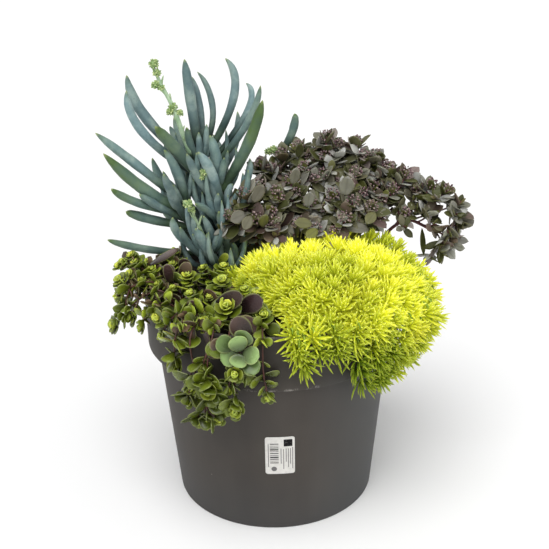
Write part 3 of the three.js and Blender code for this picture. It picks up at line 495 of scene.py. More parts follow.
# Each leaf: height of its root, tip x y z, bow to the right and up, width, share of olive skin.
BLUE_LEAVES = {
    "main": [
        [348, -147, 64, 445, -17, 1, 12.5, 0.15], [336, -145, 40, 434, -22, 0, 10.7, 0.1],
        [326, -115, 12, 403, -3, 4, 14.6, 0.75], [350, -85, 50, 463, -1, 6, 12.2, 0.2],
        [352, -80, 70, 441, 5, 5, 8.4, 0.1], [354, -75, 80, 444, 15, 8, 6.9, 0.25],
        [352, -44, 60, 461, 22, 14, 9.8, 0.2], [344, -24, 84, 430, 24, 16, 7.4, 0.15],
        [340, -8, 52, 434, 12, 1, 8.8, 0.4], [342, -107, 80, 386, -4, 2, 8.6, 0.3],
        [346, -85, 34, 396, -3, 2, 8.2, 0.6], [300, -62, 96, 372, 8, 0, 10, 0.3],
        [320, -104, 98, 392, -4, -6, 10.5, 0.35], [330, -34, 92, 398, 10, -4, 9.5, 0.2],
        [280, -72, 92, 330, -2, -4, 10, 0.4], [262, -36, 92, 306, 4, -4, 10, 0.5],
        [262, -88, 68, 336, -3, 2, 9, 0.2], [270, -66, 72, 342, -1, 3, 9.5, 0.1],
        [284, -94, 62, 350, -4, 2, 8.5, 0.2], [262, -100, 84, 344, -6, 2, 10, 0.4],
        [256, -84, 90, 330, -3, 0, 11, 0.5], [270, -112, 82, 326, -8, 0, 10, 0.3],
        [250, -98, 86, 304, -6, 0, 10, 0.5], [248, -76, 88, 296, -2, 0, 11, 0.4],
        [276, -92, 78, 352, -2, 2, 9, 0.3], [292, -52, 70, 358, 3, 3, 9, 0.1],
        [254, -46, 70, 322, 2, 3, 9, 0.2], [300, -78, 66, 366, -1, 3, 9, 0.1],
    ],
    "left": [
        [314, -179, 30, 393, 0, 0, 11, 0.35], [308, -171, 20, 374, 3, -13, 14.4, 0.9],
        [300, -164, 10, 339, -12, -1, 9.8, 0.8], [292, -136, 14, 331, -6, 2, 9.3, 0.3],
        [286, -153, 24, 309, -10, 1, 11.1, 0.8], [256, -174, 18, 280, -11, -2, 9, 0.65],
        [304, -108, 18, 377, 4, 4, 10.2, 0.35], [282, -108, 2, 356, -5, 6, 9.6, 0.1],
        [296, -128, 78, 352, -4, -6, 10.5, 0.4], [270, -122, 74, 306, -4, -4, 10, 0.6],
        [312, -112, 60, 372, 2, -2, 9.5, 0.3],
    ],
    "front": [
        [240, -78, -4, 299, -2, 2, 11.9, 0.1], [246, -94, -2, 300, -9, 1, 8.8, 0.25],
        [258, -102, 6, 308, -12, -1, 10.4, 0.35],
    ],
    "right": [
        [322, -6, 24, 425, 6, -1, 13.6, 1.0], [318, -61, 26, 389, 3, 4, 12.3, 0.3],
        [296, -73, 10, 376, 3, 8, 12.2, 0.05], [306, -84, 6, 376, -4, 0, 9.1, 0.1],
        [284, -54, 12, 331, -3, 1, 8.3, 0.15], [240, -70, 6, 309, -4, 2, 9.3, 0.15],
        [236, -54, 8, 313, -1, 6, 11.4, 0.4], [280, -78, 2, 323, -1, 7, 8.2, 0.45],
        [300, -21, 40, 360, 9, 1, 9.4, 0.2], [278, -33, 20, 331, 0, 7, 5.7, 0.15],
        [292, -39, 30, 335, -1, 8, 8.4, 0.15], [228, -40, 2, 279, 0, 8, 6.3, 0.15],
        [246, -24, 22, 280, 2, 2, 6.4, 0.2], [262, -30, 52, 330, 4, 4, 9, 0.1],
        [252, -18, 46, 306, 4, 4, 8.5, 0.2], [272, -46, 56, 344, 1, 4, 9, 0.1],
        [284, -62, 20, 345, -2, 4, 9, 0.1], [268, -66, 18, 330, -3, 4, 9, 0.15],
    ],
    "back": [
        [340, 28, 106, 391, 8, 6, 10.2, 0.6], [300, -10, 118, 336, -2, -6, 9, 0.4],
        [290, 40, 118, 328, 4, -6, 9, 0.4],
    ],
}


def smooth_path(points, count, rooted=True):
    """
    A stem's path at even steps: a centripetal Catmull-Rom curve through its points, each span the
    cubic a + b t + (3 (c - a) - 2 b - d) t² + (2 (a - c) + b + d) t³. A rooted stem starts with its
    foot upright in the soil.
    """
    if rooted:
        points = [[*points[0][:2], FOOT], [*points[0][:2], SOIL_TOP + 2], *points[1:]]
    p = np.array(points, float)
    p = np.concatenate([[2 * p[0] - p[1]], p, [2 * p[-1] - p[-2]]])
    gap = np.sqrt(np.linalg.norm(np.diff(p, axis=0), axis=1))[:, None]
    before, here, after = gap[:-2], gap[1:-1], gap[2:]
    a, c = p[1:-2], p[2:-1]
    b = ((a - p[:-3]) / before - (c - p[:-3]) / (before + here) + (c - a) / here) * here
    d = ((c - a) / here - (p[3:] - a) / (here + after) + (p[3:] - c) / after) * here
    t = np.linspace(0, 1, 24, endpoint=False)[None, :, None]
    a, b, c, d = a[:, None], b[:, None], c[:, None], d[:, None]
    dense = a + b * t + (3 * (c - a) - 2 * b - d) * t ** 2 + (2 * (a - c) + b + d) * t ** 3
    dense = np.concatenate([dense.reshape(-1, 3), p[-2:-1]])
    run = np.concatenate([[0], np.cumsum(np.linalg.norm(np.diff(dense, axis=0), axis=1))])
    even = np.linspace(0, run[-1], count)
    return np.stack([np.interp(even, run, dense[:, k]) for k in range(3)], axis=1)


def across_of(axis):
    """Two unit directions square to each axis: u = up x axis, level where it can be, and v = axis x u."""
    level = np.abs(axis[..., 2:]) < 0.95
    helper = np.where(level, [0.0, 0.0, 1.0], [1.0, 0.0, 0.0])
    u = unit(np.cross(helper, axis))
    return u, np.cross(axis, u)


def leaning(axis, turn, splay):
    """Directions splay radians off their axes, turned about them: axis cos s + (u cos a + v sin a) sin s."""
    u, v = across_of(axis)
    turn, splay = np.asarray(turn)[..., None], np.asarray(splay)[..., None]
    return axis * np.cos(splay) + (u * np.cos(turn) + v * np.sin(turn)) * np.sin(splay)


def tubes(paths, radius, sides, taper=0.8):
    """Round stems along paths of equal step counts, their radius falling evenly to a share at the end."""
    t = np.linspace(0, 1, paths.shape[1])
    girth = np.outer(np.broadcast_to(radius, len(paths)), 1 - (1 - taper) * t)
    girth[:, [0, -1]] = 0
    chord = unit(paths[:, -1] - paths[:, 0])
    return swept(paths, across_of(chord)[0], girth, girth, sides)


blue_stems = {key: smooth_path(points, 40) for key, points in BLUE_STEMS.items()}
rows = []
for key, leaves_on in BLUE_LEAVES.items():
    for height, x, y, z, right, up, width, olive in leaves_on:
        root = [np.interp(height, blue_stems[key][:, 2], blue_stems[key][:, k]) for k in range(3)]
        rows.append((root, [x, y, z], [right, 0, up], width, olive))
# Small leaves round each stem's tip, and then small ones up its side.
for n, (key, tips_up) in enumerate([("main", 7), ("left", 6), ("right", 6), ("front", 5)]):
    top = blue_stems[key][-1]
    for k in range(tips_up):
        turn, reach = 2.4 * k + n, 10 + 14 * draw(n, k)
        rise = 22 + 20 * draw(n + 7, k) * (key != "front")
        rows.append((top - [0, 0, 6], top + [reach * np.cos(turn), reach * np.sin(turn), rise],
                     [2 * np.cos(turn), 2 * np.sin(turn), -3], 6.5 + 2 * draw(n, k + 9),
                     0.2 + 0.2 * draw(n, k + 3)))
for n, key in enumerate(["main", "left", "front", "right"]):
    for k, root in enumerate(blue_stems[key][8:36:3]):
        turn, reach = 2.4 * k + 1.3 * n, 18 + 16 * draw(n, k + 30)
        rows.append((root, root + [reach * np.cos(turn), reach * np.sin(turn) * 0.8, 40 + 26 * draw(n, k + 40)],
                     [8 * np.cos(turn), 8 * np.sin(turn), -9], 5.4 + 2.4 * draw(n, k + 50),
                     0.1 + 0.25 * draw(n, k + 60)))
roots, tips, bows, widths, olives = [np.array(row, float) for row in zip(*rows)]
leaf = np.arange(len(roots))
t = 1 - (1 - np.linspace(0, 1, 30)) ** 1.25
controls = (roots + tips) / 2 + 2 * bows
line = bent(roots[:, None], controls[:, None], tips[:, None], t[:, None])
wave = 0.5 * np.sin(9 * t[None] + FULL_TURN * draw(leaf, 5)[:, None]) * np.sin(np.pi * t)
u, v = across_of(unit(tips - roots))
line = line + u[:, None] * wave[..., None]
taper = np.interp(t, [0, 0.03, 0.12, 0.28, 0.45, 0.6, 0.75, 0.86, 0.93, 0.98, 1],
                  [0, 0.62, 0.78, 0.89, 0.97, 1.0, 0.94, 0.77, 0.53, 0.24, 0])
girth = taper * (widths / 2)[:, None] * (1 + 0.03 * np.sin(23 * t[None] + 9 * draw(leaf, 6)[:, None]))
blue_leaves = swept(line, u, girth, girth * 0.92, 16)

# Chalky wax over a fleshy leaf: matt and pale where the bloom is whole, darker, greener and a little
# glossy where it is rubbed or spotted, with an olive tip and a fine pale point.
waxy_leaf, tree, place, along, olive, tone = finish_named("waxy_blue_leaf", "place", "along", "kind", "tone")
blotch = add(tree, "TexNoise", {"Vector": place, "Scale": 55.0, "Detail": 4.0, "Roughness": 0.6})
bloom = add(tree, "ValToRGB", [blotch], stops=[(0.3, "#567074"), (0.5, "#768D90"), (0.7, "#AABCBE")])
# Painted shade: each leaf darkens to a deep green towards its root.
deep = add(tree, "ValToRGB", [along], stops=[(0.0, "#222F28"), (0.22, "#76847A"), (0.44, "#FFFFFF")])
root_shaded = add(tree, "MixRGB", [1.0, bloom, deep], blend_type="MULTIPLY")
toned = add(tree, "MixRGB", [0.48, root_shaded, tone], blend_type="OVERLAY")
reach = add(tree, "Math", [along, 0.95, 0.25], operation="MULTIPLY_ADD")
skin_olive = add(tree, "Math", [olive, reach], operation="MULTIPLY")
tip = add(tree, "MapRange", [along, 0.82, 1.0, 0.0, 0.5])
both = add(tree, "Math", [skin_olive, tip], operation="ADD")
uneven = add(tree, "Math", [blotch, 1.1, -0.55], operation="MULTIPLY_ADD")
amount = add(tree, "Math", [both, uneven], operation="ADD", use_clamp=True)
green_skin = add(tree, "MixRGB", [blotch, "#223C1C", "#627C46"])
skinned = add(tree, "MixRGB", [amount, toned, green_skin])
point = add(tree, "MapRange", [along, 0.92, 1.0, 0.0, 0.75])
pointed = add(tree, "MixRGB", [point, skinned, "#A4AE6C"])
spots = add(tree, "TexVoronoi", {"Vector": place, "Scale": 190.0}, feature="F1")
spot = add(tree, "MapRange", [spots, 0.05, 0.16, 0.45, 0.0])
few = add(tree, "MapRange", [blotch, 0.52, 0.6])
spotted = add(tree, "Math", [spot, few], operation="MULTIPLY")
finished = add(tree, "MixRGB", [spotted, pointed, "#33504A"])
rough = add(tree, "MapRange", [amount, 0.0, 1.0, 0.68, 0.48])
fine = add(tree, "TexNoise", {"Vector": place, "Scale": 320.0, "Detail": 3.0})
bump = add(tree, "Bump", {"Height": fine, "Strength": 0.2, "Distance": 0.0006})
skin = add(tree, "BsdfPrincipled", {
    "Base Color": finished, "Roughness": rough, "Normal": bump,
    "Specular IOR Level": 0.28, "Sheen Weight": 0.06, "Sheen Roughness": 0.5,
})
add(tree, "OutputMaterial", [skin])
paths = np.stack(list(blue_stems.values()))
grown("blue_stonecrop", [
    (blue_leaves, 0.25 + 0.52 * draw(leaf, 8), olives),
    (tubes(paths, BLUE_STEM_RADIUS * 0.95, 14, 0.75), 0.4, 0.35),
], waxy_leaf, "blue_leaf", *[f"blue_stem_{key}" for key in BLUE_STEMS])

# Flower stalks of the blue stonecrop: pale green, branching near the top into tight heads of small
# pointed buds, with a few short scale leaves. Each stands on a leafy stem's tip. A stalk is its path
# and its radius, and a bud head its middle and its radius.
STALKS = {
    "tall": ([[-82, 41, 362.6], [-90.8, 43, 388.7], [-98.1, 46, 412.4], [-106.6, 49, 429.6], [-113.2, 51, 443.7],
              [-116.6, 52, 455.9]], 3.2),
    "low": ([[-66.4, 20, 269.1], [-75, 13, 294], [-86, 5, 325]], 1.9),
    "back": ([[6, 97, 347.6], [6, 95, 351], [5, 90, 356]], 2.4),
}
BUD_HEADS = [
    [-116.5, 52, 457.9, 5.6], [-113.9, 51, 448.9, 3.6], [-115.6, 50, 436.8, 4.6], [-110.5, 49, 433.8, 3.2],
    [-99, 46, 414.5, 4.4], [-102.3, 45, 409.5, 3.6], [-92, 45, 408.3, 2.8], [-85.5, 5.5, 322, 4.8],
    [-82, 8, 315, 3.2], [-68.1, 18, 352.4, 3.4], [-71.4, 18, 347.1, 2.4], [5, 90.5, 354, 5.6],
    [-1, 92, 352, 4.2], [10, 90, 352, 4],
]
paths = np.stack([smooth_path(points, 20, rooted=False) for points, _ in STALKS.values()])
stalk_tubes = tubes(paths, np.array([radius for _, radius in STALKS.values()]), 10, 0.5)


GOLDEN_ANGLE = 2.39996


def globes(centres, radii, each, seed):
    """Places on balls: each ball's points go round it by the golden angle, with z even from -0.75 to 1."""
    k = np.arange(each)
    rise = -0.75 + 1.75 * (k + 0.5) / each
    turn = GOLDEN_ANGLE * k
    flat = np.sqrt(1 - rise ** 2)
    way = np.stack([flat * np.cos(turn), flat * np.sin(turn), rise], axis=1)
    ball = np.arange(len(centres))[:, None, None] + seed
    way = unit(way[None] + 0.35 * (draw(ball, k[None, :, None] * 3 + np.arange(3)) - 0.5))
    return (centres[:, None] + way * radii[:, None, None]).reshape(-1, 3), way.reshape(-1, 3)


def leaves(root, direction, face, length, width, thick, outline, rings, sides, curl=0.0, cup=0.0):
    """
    Thick blades: the centre line is root + direction L t + face L curl t², the half width w/2 times
    the outline, the half thickness falling to a thin edge, and the sides lifted towards face by cup.
    """
    t = np.linspace(0, 1, rings)
    curl = np.broadcast_to(curl, len(root))
    line = (root[:, None] + direction[:, None] * (length[:, None] * t)[..., None]
            + face[:, None] * ((length * curl)[:, None] * t ** 2)[..., None])
    width, thick = [np.broadcast_to(size, len(root))[:, None] for size in (width, thick)]
    half = np.interp(t, *outline) * (width / 2)
    half[:, [0, -1]] = 0
    body = np.interp(t, [0, 0.15, 0.6, 0.9, 1], [0.7, 1, 0.9, 0.6, 0]) * (thick / 2)
    body[:, [0, -1]] = 0
    return swept(line, np.cross(direction, face), half, body, sides, cup)


heads = np.array(BUD_HEADS)
bud_at, bud_way = globes(heads[:, :3], heads[:, 3] * 0.72, 30, 3)
bud_size = 2.6 + 1.2 * draw(np.arange(len(bud_at)), 4)
bud_face = across_of(bud_way)[0]
BUD_OUTLINE = ([0, 0.2, 0.5, 0.8, 1], [0.3, 0.8, 1, 0.6, 0])
buds = leaves(bud_at - bud_way * 0.8, bud_way, bud_face, bud_size, bud_size * 0.62, bud_size * 0.6,
              BUD_OUTLINE, 6, 6)
core_rise = np.linspace(-0.95, 0.95, 7)[None, :, None] * heads[:, 3, None, None] * 0.8
core_line = heads[:, None, :3] + np.array([0, 0, 1.0]) * core_rise
core_girth = np.sqrt(np.maximum(0, 1 - np.linspace(-1, 1, 7) ** 2)) * heads[:, 3:] * 0.7
cores = swept(core_line, np.array([[1.0, 0, 0]]), core_girth, core_girth, 10)
scale_at = np.concatenate([path[3:18:2] for path in paths[:2]])
scale_axis = np.concatenate([unit(np.gradient(path, axis=0))[3:18:2] for path in paths[:2]])
n = np.arange(len(scale_at))
scale_way = leaning(scale_axis, 2.4 * n, 0.5)
scale_face = np.cross(scale_way, across_of(scale_axis)[0])
scale_leaves = leaves(scale_at, scale_way, scale_face, 8 + 5 * draw(n, 2), 3.4, 2.2,
                      ([0, 0.2, 0.6, 0.9, 1], [0.6, 0.9, 1, 0.5, 0]), 8, 8, curl=0.2)
# A fleshy stalk is pale, softly mottled and half matt, and its buds are a yellower green.
pale_flesh, tree, place, young, tone = finish_named("pale_stalk_and_buds", "place", "kind", "tone")
mottle = add(tree, "TexNoise", {"Vector": place, "Scale": 160.0, "Detail": 3.0})
stalk = add(tree, "ValToRGB", [mottle], stops=[(0.3, "#8CAA86"), (0.7, "#BACFAE")])
bud = add(tree, "ValToRGB", [tone], stops=[(0.0, "#7E9A62"), (0.5, "#A0B878"), (1.0, "#C4D094")])
mixed = add(tree, "MixRGB", [young, stalk, bud])
skin = add(tree, "BsdfPrincipled", {"Base Color": mixed, "Roughness": 0.55, "Specular IOR Level": 0.4})
add(tree, "OutputMaterial", [skin])
grown("flower_stalks", [
    (stalk_tubes, 0.4, 0.0), (cores, 0.1, 1.0), (buds, draw(np.arange(len(bud_at)), 9), 1.0),
    (scale_leaves, draw(n, 6), 0.4),
], pale_flesh, "pale_stalk", *[f"flower_stalk_{key}" for key in STALKS])


# Dark stonecrop: crimson branches that fork into leafy twigs. Each ends in a flat head of tiny dark
# red buds in a ruff of oval leaves, which are olive, brown and purple-grey with a thin pale edge.
DARK_CENTRE = np.array([60.0, 62.0, 235.0])
DARK_STEM_RADIUS = 2.2
TWIG_RADIUS = 1.1
DARK_BRANCHES = {
    "left": ([[-14, 46], [-14, 40, 250], [-16, 26, 278]],
             [[-25, 20, 325], [-11, 30, 330], [-41, 6, 306], [-14, 6, 302]]),
    "front_left": ([[8, 50], [10, 46, 262], [13, 32, 296]],
                   [[9, 14, 322], [23, 34, 334], [37, 46, 343], [5, 2, 300]]),
    "back_left": ([[28, 84], [26, 84, 280], [24, 82, 318]],
                  [[-9, 72, 340], [14, 80, 348], [32, 88, 354]]),
    "top": ([[52, 74], [53, 72, 270], [56, 62, 320]],
            [[62, 78, 368], [60, 64, 349], [56, 46, 335]]),
    "front": ([[36, 60], [38, 56, 262], [44, 30, 295]],
              [[41, 20, 315], [65, 24, 320], [30, 2, 297], [46, -2, 292]]),
    "back_right": ([[84, 78], [86, 76, 270], [98, 68, 322]],
                   [[94, 78, 361], [114, 72, 348], [91, 52, 335], [125, 64, 337]]),
    "front_right": ([[70, 62], [72, 58, 262], [81, 28, 298]],
                    [[81, 32, 328], [85, 14, 315], [76, 0, 303], [104, 12, 310]]),
    "right": ([[102, 60], [106, 58, 256], [124, 47, 296]],
              [[129, 44, 318], [146, 60, 331], [109, 44, 321], [142, 30, 298]]),
    "arm": ([[110, 44], [113, 43, 246], [125, 38, 274], [136, 38, 284], [148, 40, 288], [161, 40, 283],
             [180, 38, 272]],
            [[158, 54, 316], [172, 50, 321], [188, 46, 316], [202, 40, 305], [170, 34, 297],
             [203, 32, 284], [196, 32, 266], [186, 36, 253]]),
    "back": ([[62, 100], [62, 104, 270], [62, 106, 312]],
             [[38, 112, 332], [68, 120, 336], [96, 108, 332], [64, 102, 356]]),
    "back_far_right": ([[92, 84], [96, 86, 262], [116, 90, 304]],
                       [[120, 98, 326], [142, 86, 318], [118, 82, 344]]),
}
INNER_SHOOTS = [
    [-20, 40, 290], [-2, 40, 312], [20, 56, 330], [40, 60, 342], [74, 66, 352], [60, 42, 320], [84, 50, 332],
    [108, 50, 320], [-6, 26, 286], [28, 30, 302], [60, 22, 294], [95, 28, 302], [50, 88, 338], [88, 88, 342],
    [8, 70, 334], [-30, 22, 292], [14, 20, 290], [44, 10, 284], [78, 12, 290], [0, 60, 326], [-16, 56, 316],
    [64, 60, 338], [100, 62, 336],
]
OVAL = ([0, 0.1, 0.3, 0.5, 0.7, 0.86, 0.95, 1], [0.18, 0.38, 0.8, 1.0, 0.9, 0.56, 0.26, 0])
BLADE_THICK = 1.5
QUARTER_TURN = 1.57
LIGHT = np.array([-0.1, -0.55, 0.8])


def facing(direction, axis, light=0.0):
    """The way a blade's upper side faces: up its stem and by a share towards the light, square to the blade."""
    face = unit(axis - direction * np.sum(direction * axis, axis=-1, keepdims=True)) + light * LIGHT
    return unit(face - direction * np.sum(direction * face, axis=-1, keepdims=True))


def out_of_dark(places):
    """The axes of shoots at these places: out from the plant's middle, and mostly up."""
    return unit(0.6 * unit(places - DARK_CENTRE) + [0, -0.1, 0.75])


trunks, twigs, centres, axes_of, sizes = [], [], [], [], []
for b, (key, (points, heads)) in enumerate(DARK_BRANCHES.items()):
    trunk = smooth_path(points, 40)
    trunks.append(trunk)
    for h, head in enumerate(heads):
        at = int(38 * (0.62 + 0.37 * h / (len(heads) - 1))) if key == "arm" else 38
        centre = np.array(head, float)
        start, lead = trunk[at], unit(trunk[at + 1] - trunk[at - 4])
        bend = start + lead * 0.4 * np.linalg.norm(centre - start) + [0, 0, 3.0 * (key == "arm")]
        twigs.append(bent(start, bend, centre, np.linspace(0, 1, 18)[:, None]))
        centres.append(centre)
        axes_of.append(unit([0.6, -0.3, -0.5]) if centre[2] < 290 and key == "arm" else out_of_dark(centre))
        sizes.append(0.92 if key == "arm" else 0.72 if key == "right" and centre[2] < 300 else 1.0)
trunks, twigs, centres, axes_of, sizes = [np.array(rows) for rows in (trunks, twigs, centres, axes_of, sizes)]
head = np.arange(len(centres))
ruffs = [(centres, axes_of, sizes)]
for k in range(2):
    turn = 2.6 * k + 6 * draw(head, 20)
    side_axis = leaning(axes_of, turn, 0.6 + 0.3 * draw(head, 21 + k))
    side_at = centres - axes_of * 9 + leaning(axes_of, turn, 1.4) * (11 + 5 * draw(head, 25 + k))[:, None]
    ruffs.append((side_at, side_axis, sizes * 0.72))
ruff_at, ruff_axis, ruff_size = [np.concatenate(parts) for parts in zip(*ruffs)]


def whorls(at, axis, size, tiers, sides, seed):
    """
    Whorls of leaves round shoots. A tier is (leaves, splay, length, mm back from the tip, youth); each
    leaf is turned, splayed and sized a little differently, and those on the plant's outer side droop.
    """
    n = np.arange(len(at))
    made = []
    for tier, (count, splay, long, back, youth) in enumerate(tiers):
        for k in range(count):
            s = seed + 50 * tier + 7 * k
            turn = 2 * np.pi * (k + 0.5 * (tier % 2)) / count + 6 * draw(n, seed) + 0.7 * (draw(n, s) - 0.5)
            way = unit(leaning(axis, turn, splay + 0.7 * (draw(n, s + 1) - 0.5)) + [0, 0, 0.2])
            outwards = np.sum(way * unit((at - DARK_CENTRE) * [1, 1, 0]), axis=1, keepdims=True)
            droop = np.clip(outwards, 0, 1) * (0.3 + 0.7 * draw(n, s + 8))[:, None]
            way = unit(way - [0, 0, 1.0] * droop * (1.1 if tier == 0 else 0.5))
            length = size * long * (0.72 + 0.46 * draw(n, s + 2))
            blades = leaves(at - axis * (back * size)[:, None], way, facing(way, axis, 0.5), length,
                            length * (0.5 + 0.18 * draw(n, s + 3)), BLADE_THICK, OVAL, 8, sides,
                            curl=0.3 * (draw(n, s + 4) - 0.6), cup=0.16)
            made.append((blades, draw(n, s + 5), youth * draw(n, s + 6)))
    return made


def pairs(paths, n, step, turn, spin, seed, size, spread, curl, cup, youth):
    """Opposite leaves at one step of the paths numbered n, their size times 15 to 15 + spread mm long."""
    axis = unit(paths[n, step + 1] - paths[n, step - 1])
    made = []
    for half in range(2):
        s = seed + 9 * half
        way = leaning(axis, turn + np.pi * half + spin, 1.0 + 0.5 * draw(n, s))
        long = size * (15 + spread * draw(n, s + 2))
        blades = leaves(paths[n, step], way, facing(way, axis), long, long * 0.66, BLADE_THICK, OVAL, 7, 6,
                        curl=curl * (draw(n, s + 4) - 0.4), cup=cup)
        made.append((blades, draw(n, s + 5), youth * draw(n, s + 6)))
    return made


RUFF_TIERS = [(4, 1.25, 25, 9, 0.1), (4, 0.85, 21, 5, 0.35), (3, 0.5, 12, 2, 0.7)]
SIDE_TIERS = [(4, 1.1, 26, 6, 0.2), (2, 0.6, 18, 2, 0.6)]
INNER_TIERS = [(4, 1.15, 25, 8, 0.0), (3, 0.75, 21, 3, 0.1)]
count = len(centres)
inner = np.array(INNER_SHOOTS, float)
batches = whorls(centres, axes_of, sizes, RUFF_TIERS, 8, 30)
batches += whorls(ruff_at[count:], ruff_axis[count:], ruff_size[count:], SIDE_TIERS, 7, 330)
batches += whorls(inner, out_of_dark(inner), np.ones(len(inner)), INNER_TIERS, 6, 530)
# Leaves in pairs down the twigs and the trunks. The two right-hand branches are bare below their heads.
for k, step in enumerate([5, 9, 13]):
    n = head if k > 1 else head[sizes == 1]
    size = sizes[n] * (1.0 if k > 1 else 0.85)
    spin = 6 * draw(n, 110)
    batches += pairs(twigs, n, step, QUARTER_TURN * k, spin, 700 + 20 * k, size, 9, 0.2, 0.2, 0.3)
leafy = np.flatnonzero([key not in ("arm", "right") for key in DARK_BRANCHES])
for k, step in enumerate([8, 11, 14, 17, 20, 23, 26, 29, 32, 35, 37]):
    spin = 6 * draw(leafy, 111)
    batches += pairs(trunks, leafy, step, QUARTER_TURN * k, spin, 900 + 20 * k, 1.0, 7, 0.0, 0.15, 0.2)
# Each single large leaf: root x y z, tip x y z, width, tone and youth.
LONE_LEAVES = np.array([
    [163, 40, 279, 164, 38, 248, 7.5, 0.18, 0], [186, 37, 263, 183, 30, 240, 9, 0.2, 0],
    [60, 77, 362, 69, 80, 380, 7, 0.05, 0], [62, 78, 365, 58, 74, 379, 6, 0.08, 0],
    [121, 60, 300, 104, 44, 292, 13, 0.6, 0.2], [60, 26, 288, 70, -2, 282, 15, 0.5, 0.1],
    [84, 16, 286, 92, -6, 279, 16, 0.45, 0.3], [-38, 10, 296, -52, -2, 287, 14, 0.5, 0],
    [10, 10, 288, 2, -8, 281, 14, 0.46, 0.2], [196, 30, 262, 208, 20, 262, 10, 0.62, 0],
    [190, 32, 256, 198, 22, 248, 9, 0.64, 0], [-19, 6, 322, -6, 4, 343, 14, 0.42, 0],
    [23, 14, 338, 27, 12, 358, 12, 0.48, 0], [38, 6, 316, 40, 4, 335, 13, 0.54, 0],
    [43, -10, 303, 22, -18, 308, 12, 0.42, 0.5], [48, -10, 298, 35, -20, 291, 12, 0.35, 0.9],
    [77, 12, 325, 80, 10, 349, 17, 0.53, 0], [-26, 0, 313, -43, -12, 309, 15, 0.47, 0],
    [-20, -2, 311, -29, -14, 299, 12, 0.42, 0.1], [30, 36, 360, 31, 32, 379, 10, 0.08, 0],
    [108, 2, 311, 97, -10, 301, 12, 0.36, 0.4], [-9, -4, 298, -5, -12, 314, 12, 0.32, 0.5],
])


def single_leaves(table, towards, longer, thick, outline, rings, curl, cup):
    """Blades from a table's roots to its tips, with its widths, their upper sides turned towards one way."""
    span = table[:, 3:6] - table[:, :3]
    way = unit(span)
    long = np.linalg.norm(span, axis=1) + longer
    return leaves(table[:, :3], way, facing(way, towards), long, table[:, 6], thick, outline, rings, rings,
                  curl, cup)


lean = np.stack([draw(np.arange(len(LONE_LEAVES)), 11 + k) for k in range(3)], 1) - 0.5
towards = np.array([0.0, -0.6, 0.4]) + lean
blades = single_leaves(LONE_LEAVES, towards, 0, BLADE_THICK, OVAL, 8, 0.12, 0.28)
batches.append((blades, LONE_LEAVES[:, 7], LONE_LEAVES[:, 8]))
# A smooth skin with little wax: half glossy, from olive to purple-grey, paler at the edge and darker
# along the middle.
dark_leaf, tree, place, tone, edge, young = finish_named("dark_succulent_leaf", "place", "tone", "edge", "kind")
cloud = add(tree, "TexNoise", {"Vector": place, "Scale": 90.0, "Detail": 3.0})
hue = add(tree, "ValToRGB", [tone], stops=[
    (0.0, "#1C1E0C"), (0.2, "#484C26"), (0.4, "#5F5B4A"), (0.6, "#878783"), (0.75, "#B8B9B5"), (0.88, "#74605C"),
    (1.0, "#32231F"),
])
deep = add(tree, "MixRGB", [0.35, hue, cloud], blend_type="OVERLAY")
greener = add(tree, "MixRGB", [young, deep, "#6C6E2C"])
rim = add(tree, "MapRange", [edge, 0.8, 1.0, 0.0, 0.4])
rimmed = add(tree, "MixRGB", [rim, greener, "#96946A"])
rib = add(tree, "MapRange", [edge, 0.0, 0.25, 0.3, 0.0])
ribbed = add(tree, "MixRGB", [rib, rimmed, "#3E3F30"])
rough = add(tree, "MapRange", [cloud, 0.3, 0.7, 0.34, 0.52])
skin = add(tree, "BsdfPrincipled", {"Base Color": ribbed, "Roughness": rough, "Specular IOR Level": 0.4})
add(tree, "OutputMaterial", [skin])
grown("dark_stonecrop_leaves", batches, dark_leaf, "dark_leaf", *[f"dark_branch_{key}" for key in DARK_BRANCHES])

# Its stems are crimson to purple-brown, and so are the buds, each with a paler pink tip.


def straight(start, end, steps):
    """Straight lines of even steps: a (1 - t) + b t."""
    t = np.linspace(0, 1, steps)[None, :, None]
    return start[:, None] * (1 - t) + end[:, None] * t


budded = (np.arange(len(ruff_at)) < 2 * count) & ~((ruff_at[:, 0] > 150) & (ruff_at[:, 2] < 312))
bud_centres = ruff_at + ruff_axis * (4.5 * ruff_size)[:, None]
bud_at, bud_way = globes(bud_centres[budded], 6.0 * ruff_size[budded], 26, 5)
bud_seed = np.arange(len(bud_at))
bud_size = 2.4 + 1.3 * draw(bud_seed, 4)
t = np.linspace(0, 1, 6)[None, :, None]
side_line = (ruff_at[:, None] - ruff_axis[:, None] * 7 * ruff_size[:, None, None] * (1 - t)
             + ruff_axis[:, None] * 4.5 * t)
near = np.concatenate([head] * len(ruffs))
joins = straight(twigs[near, 13], ruff_at, 8)
inner_line = straight(inner * [0.55, 0.55, 0] + [24, 28, 226], inner, 8)
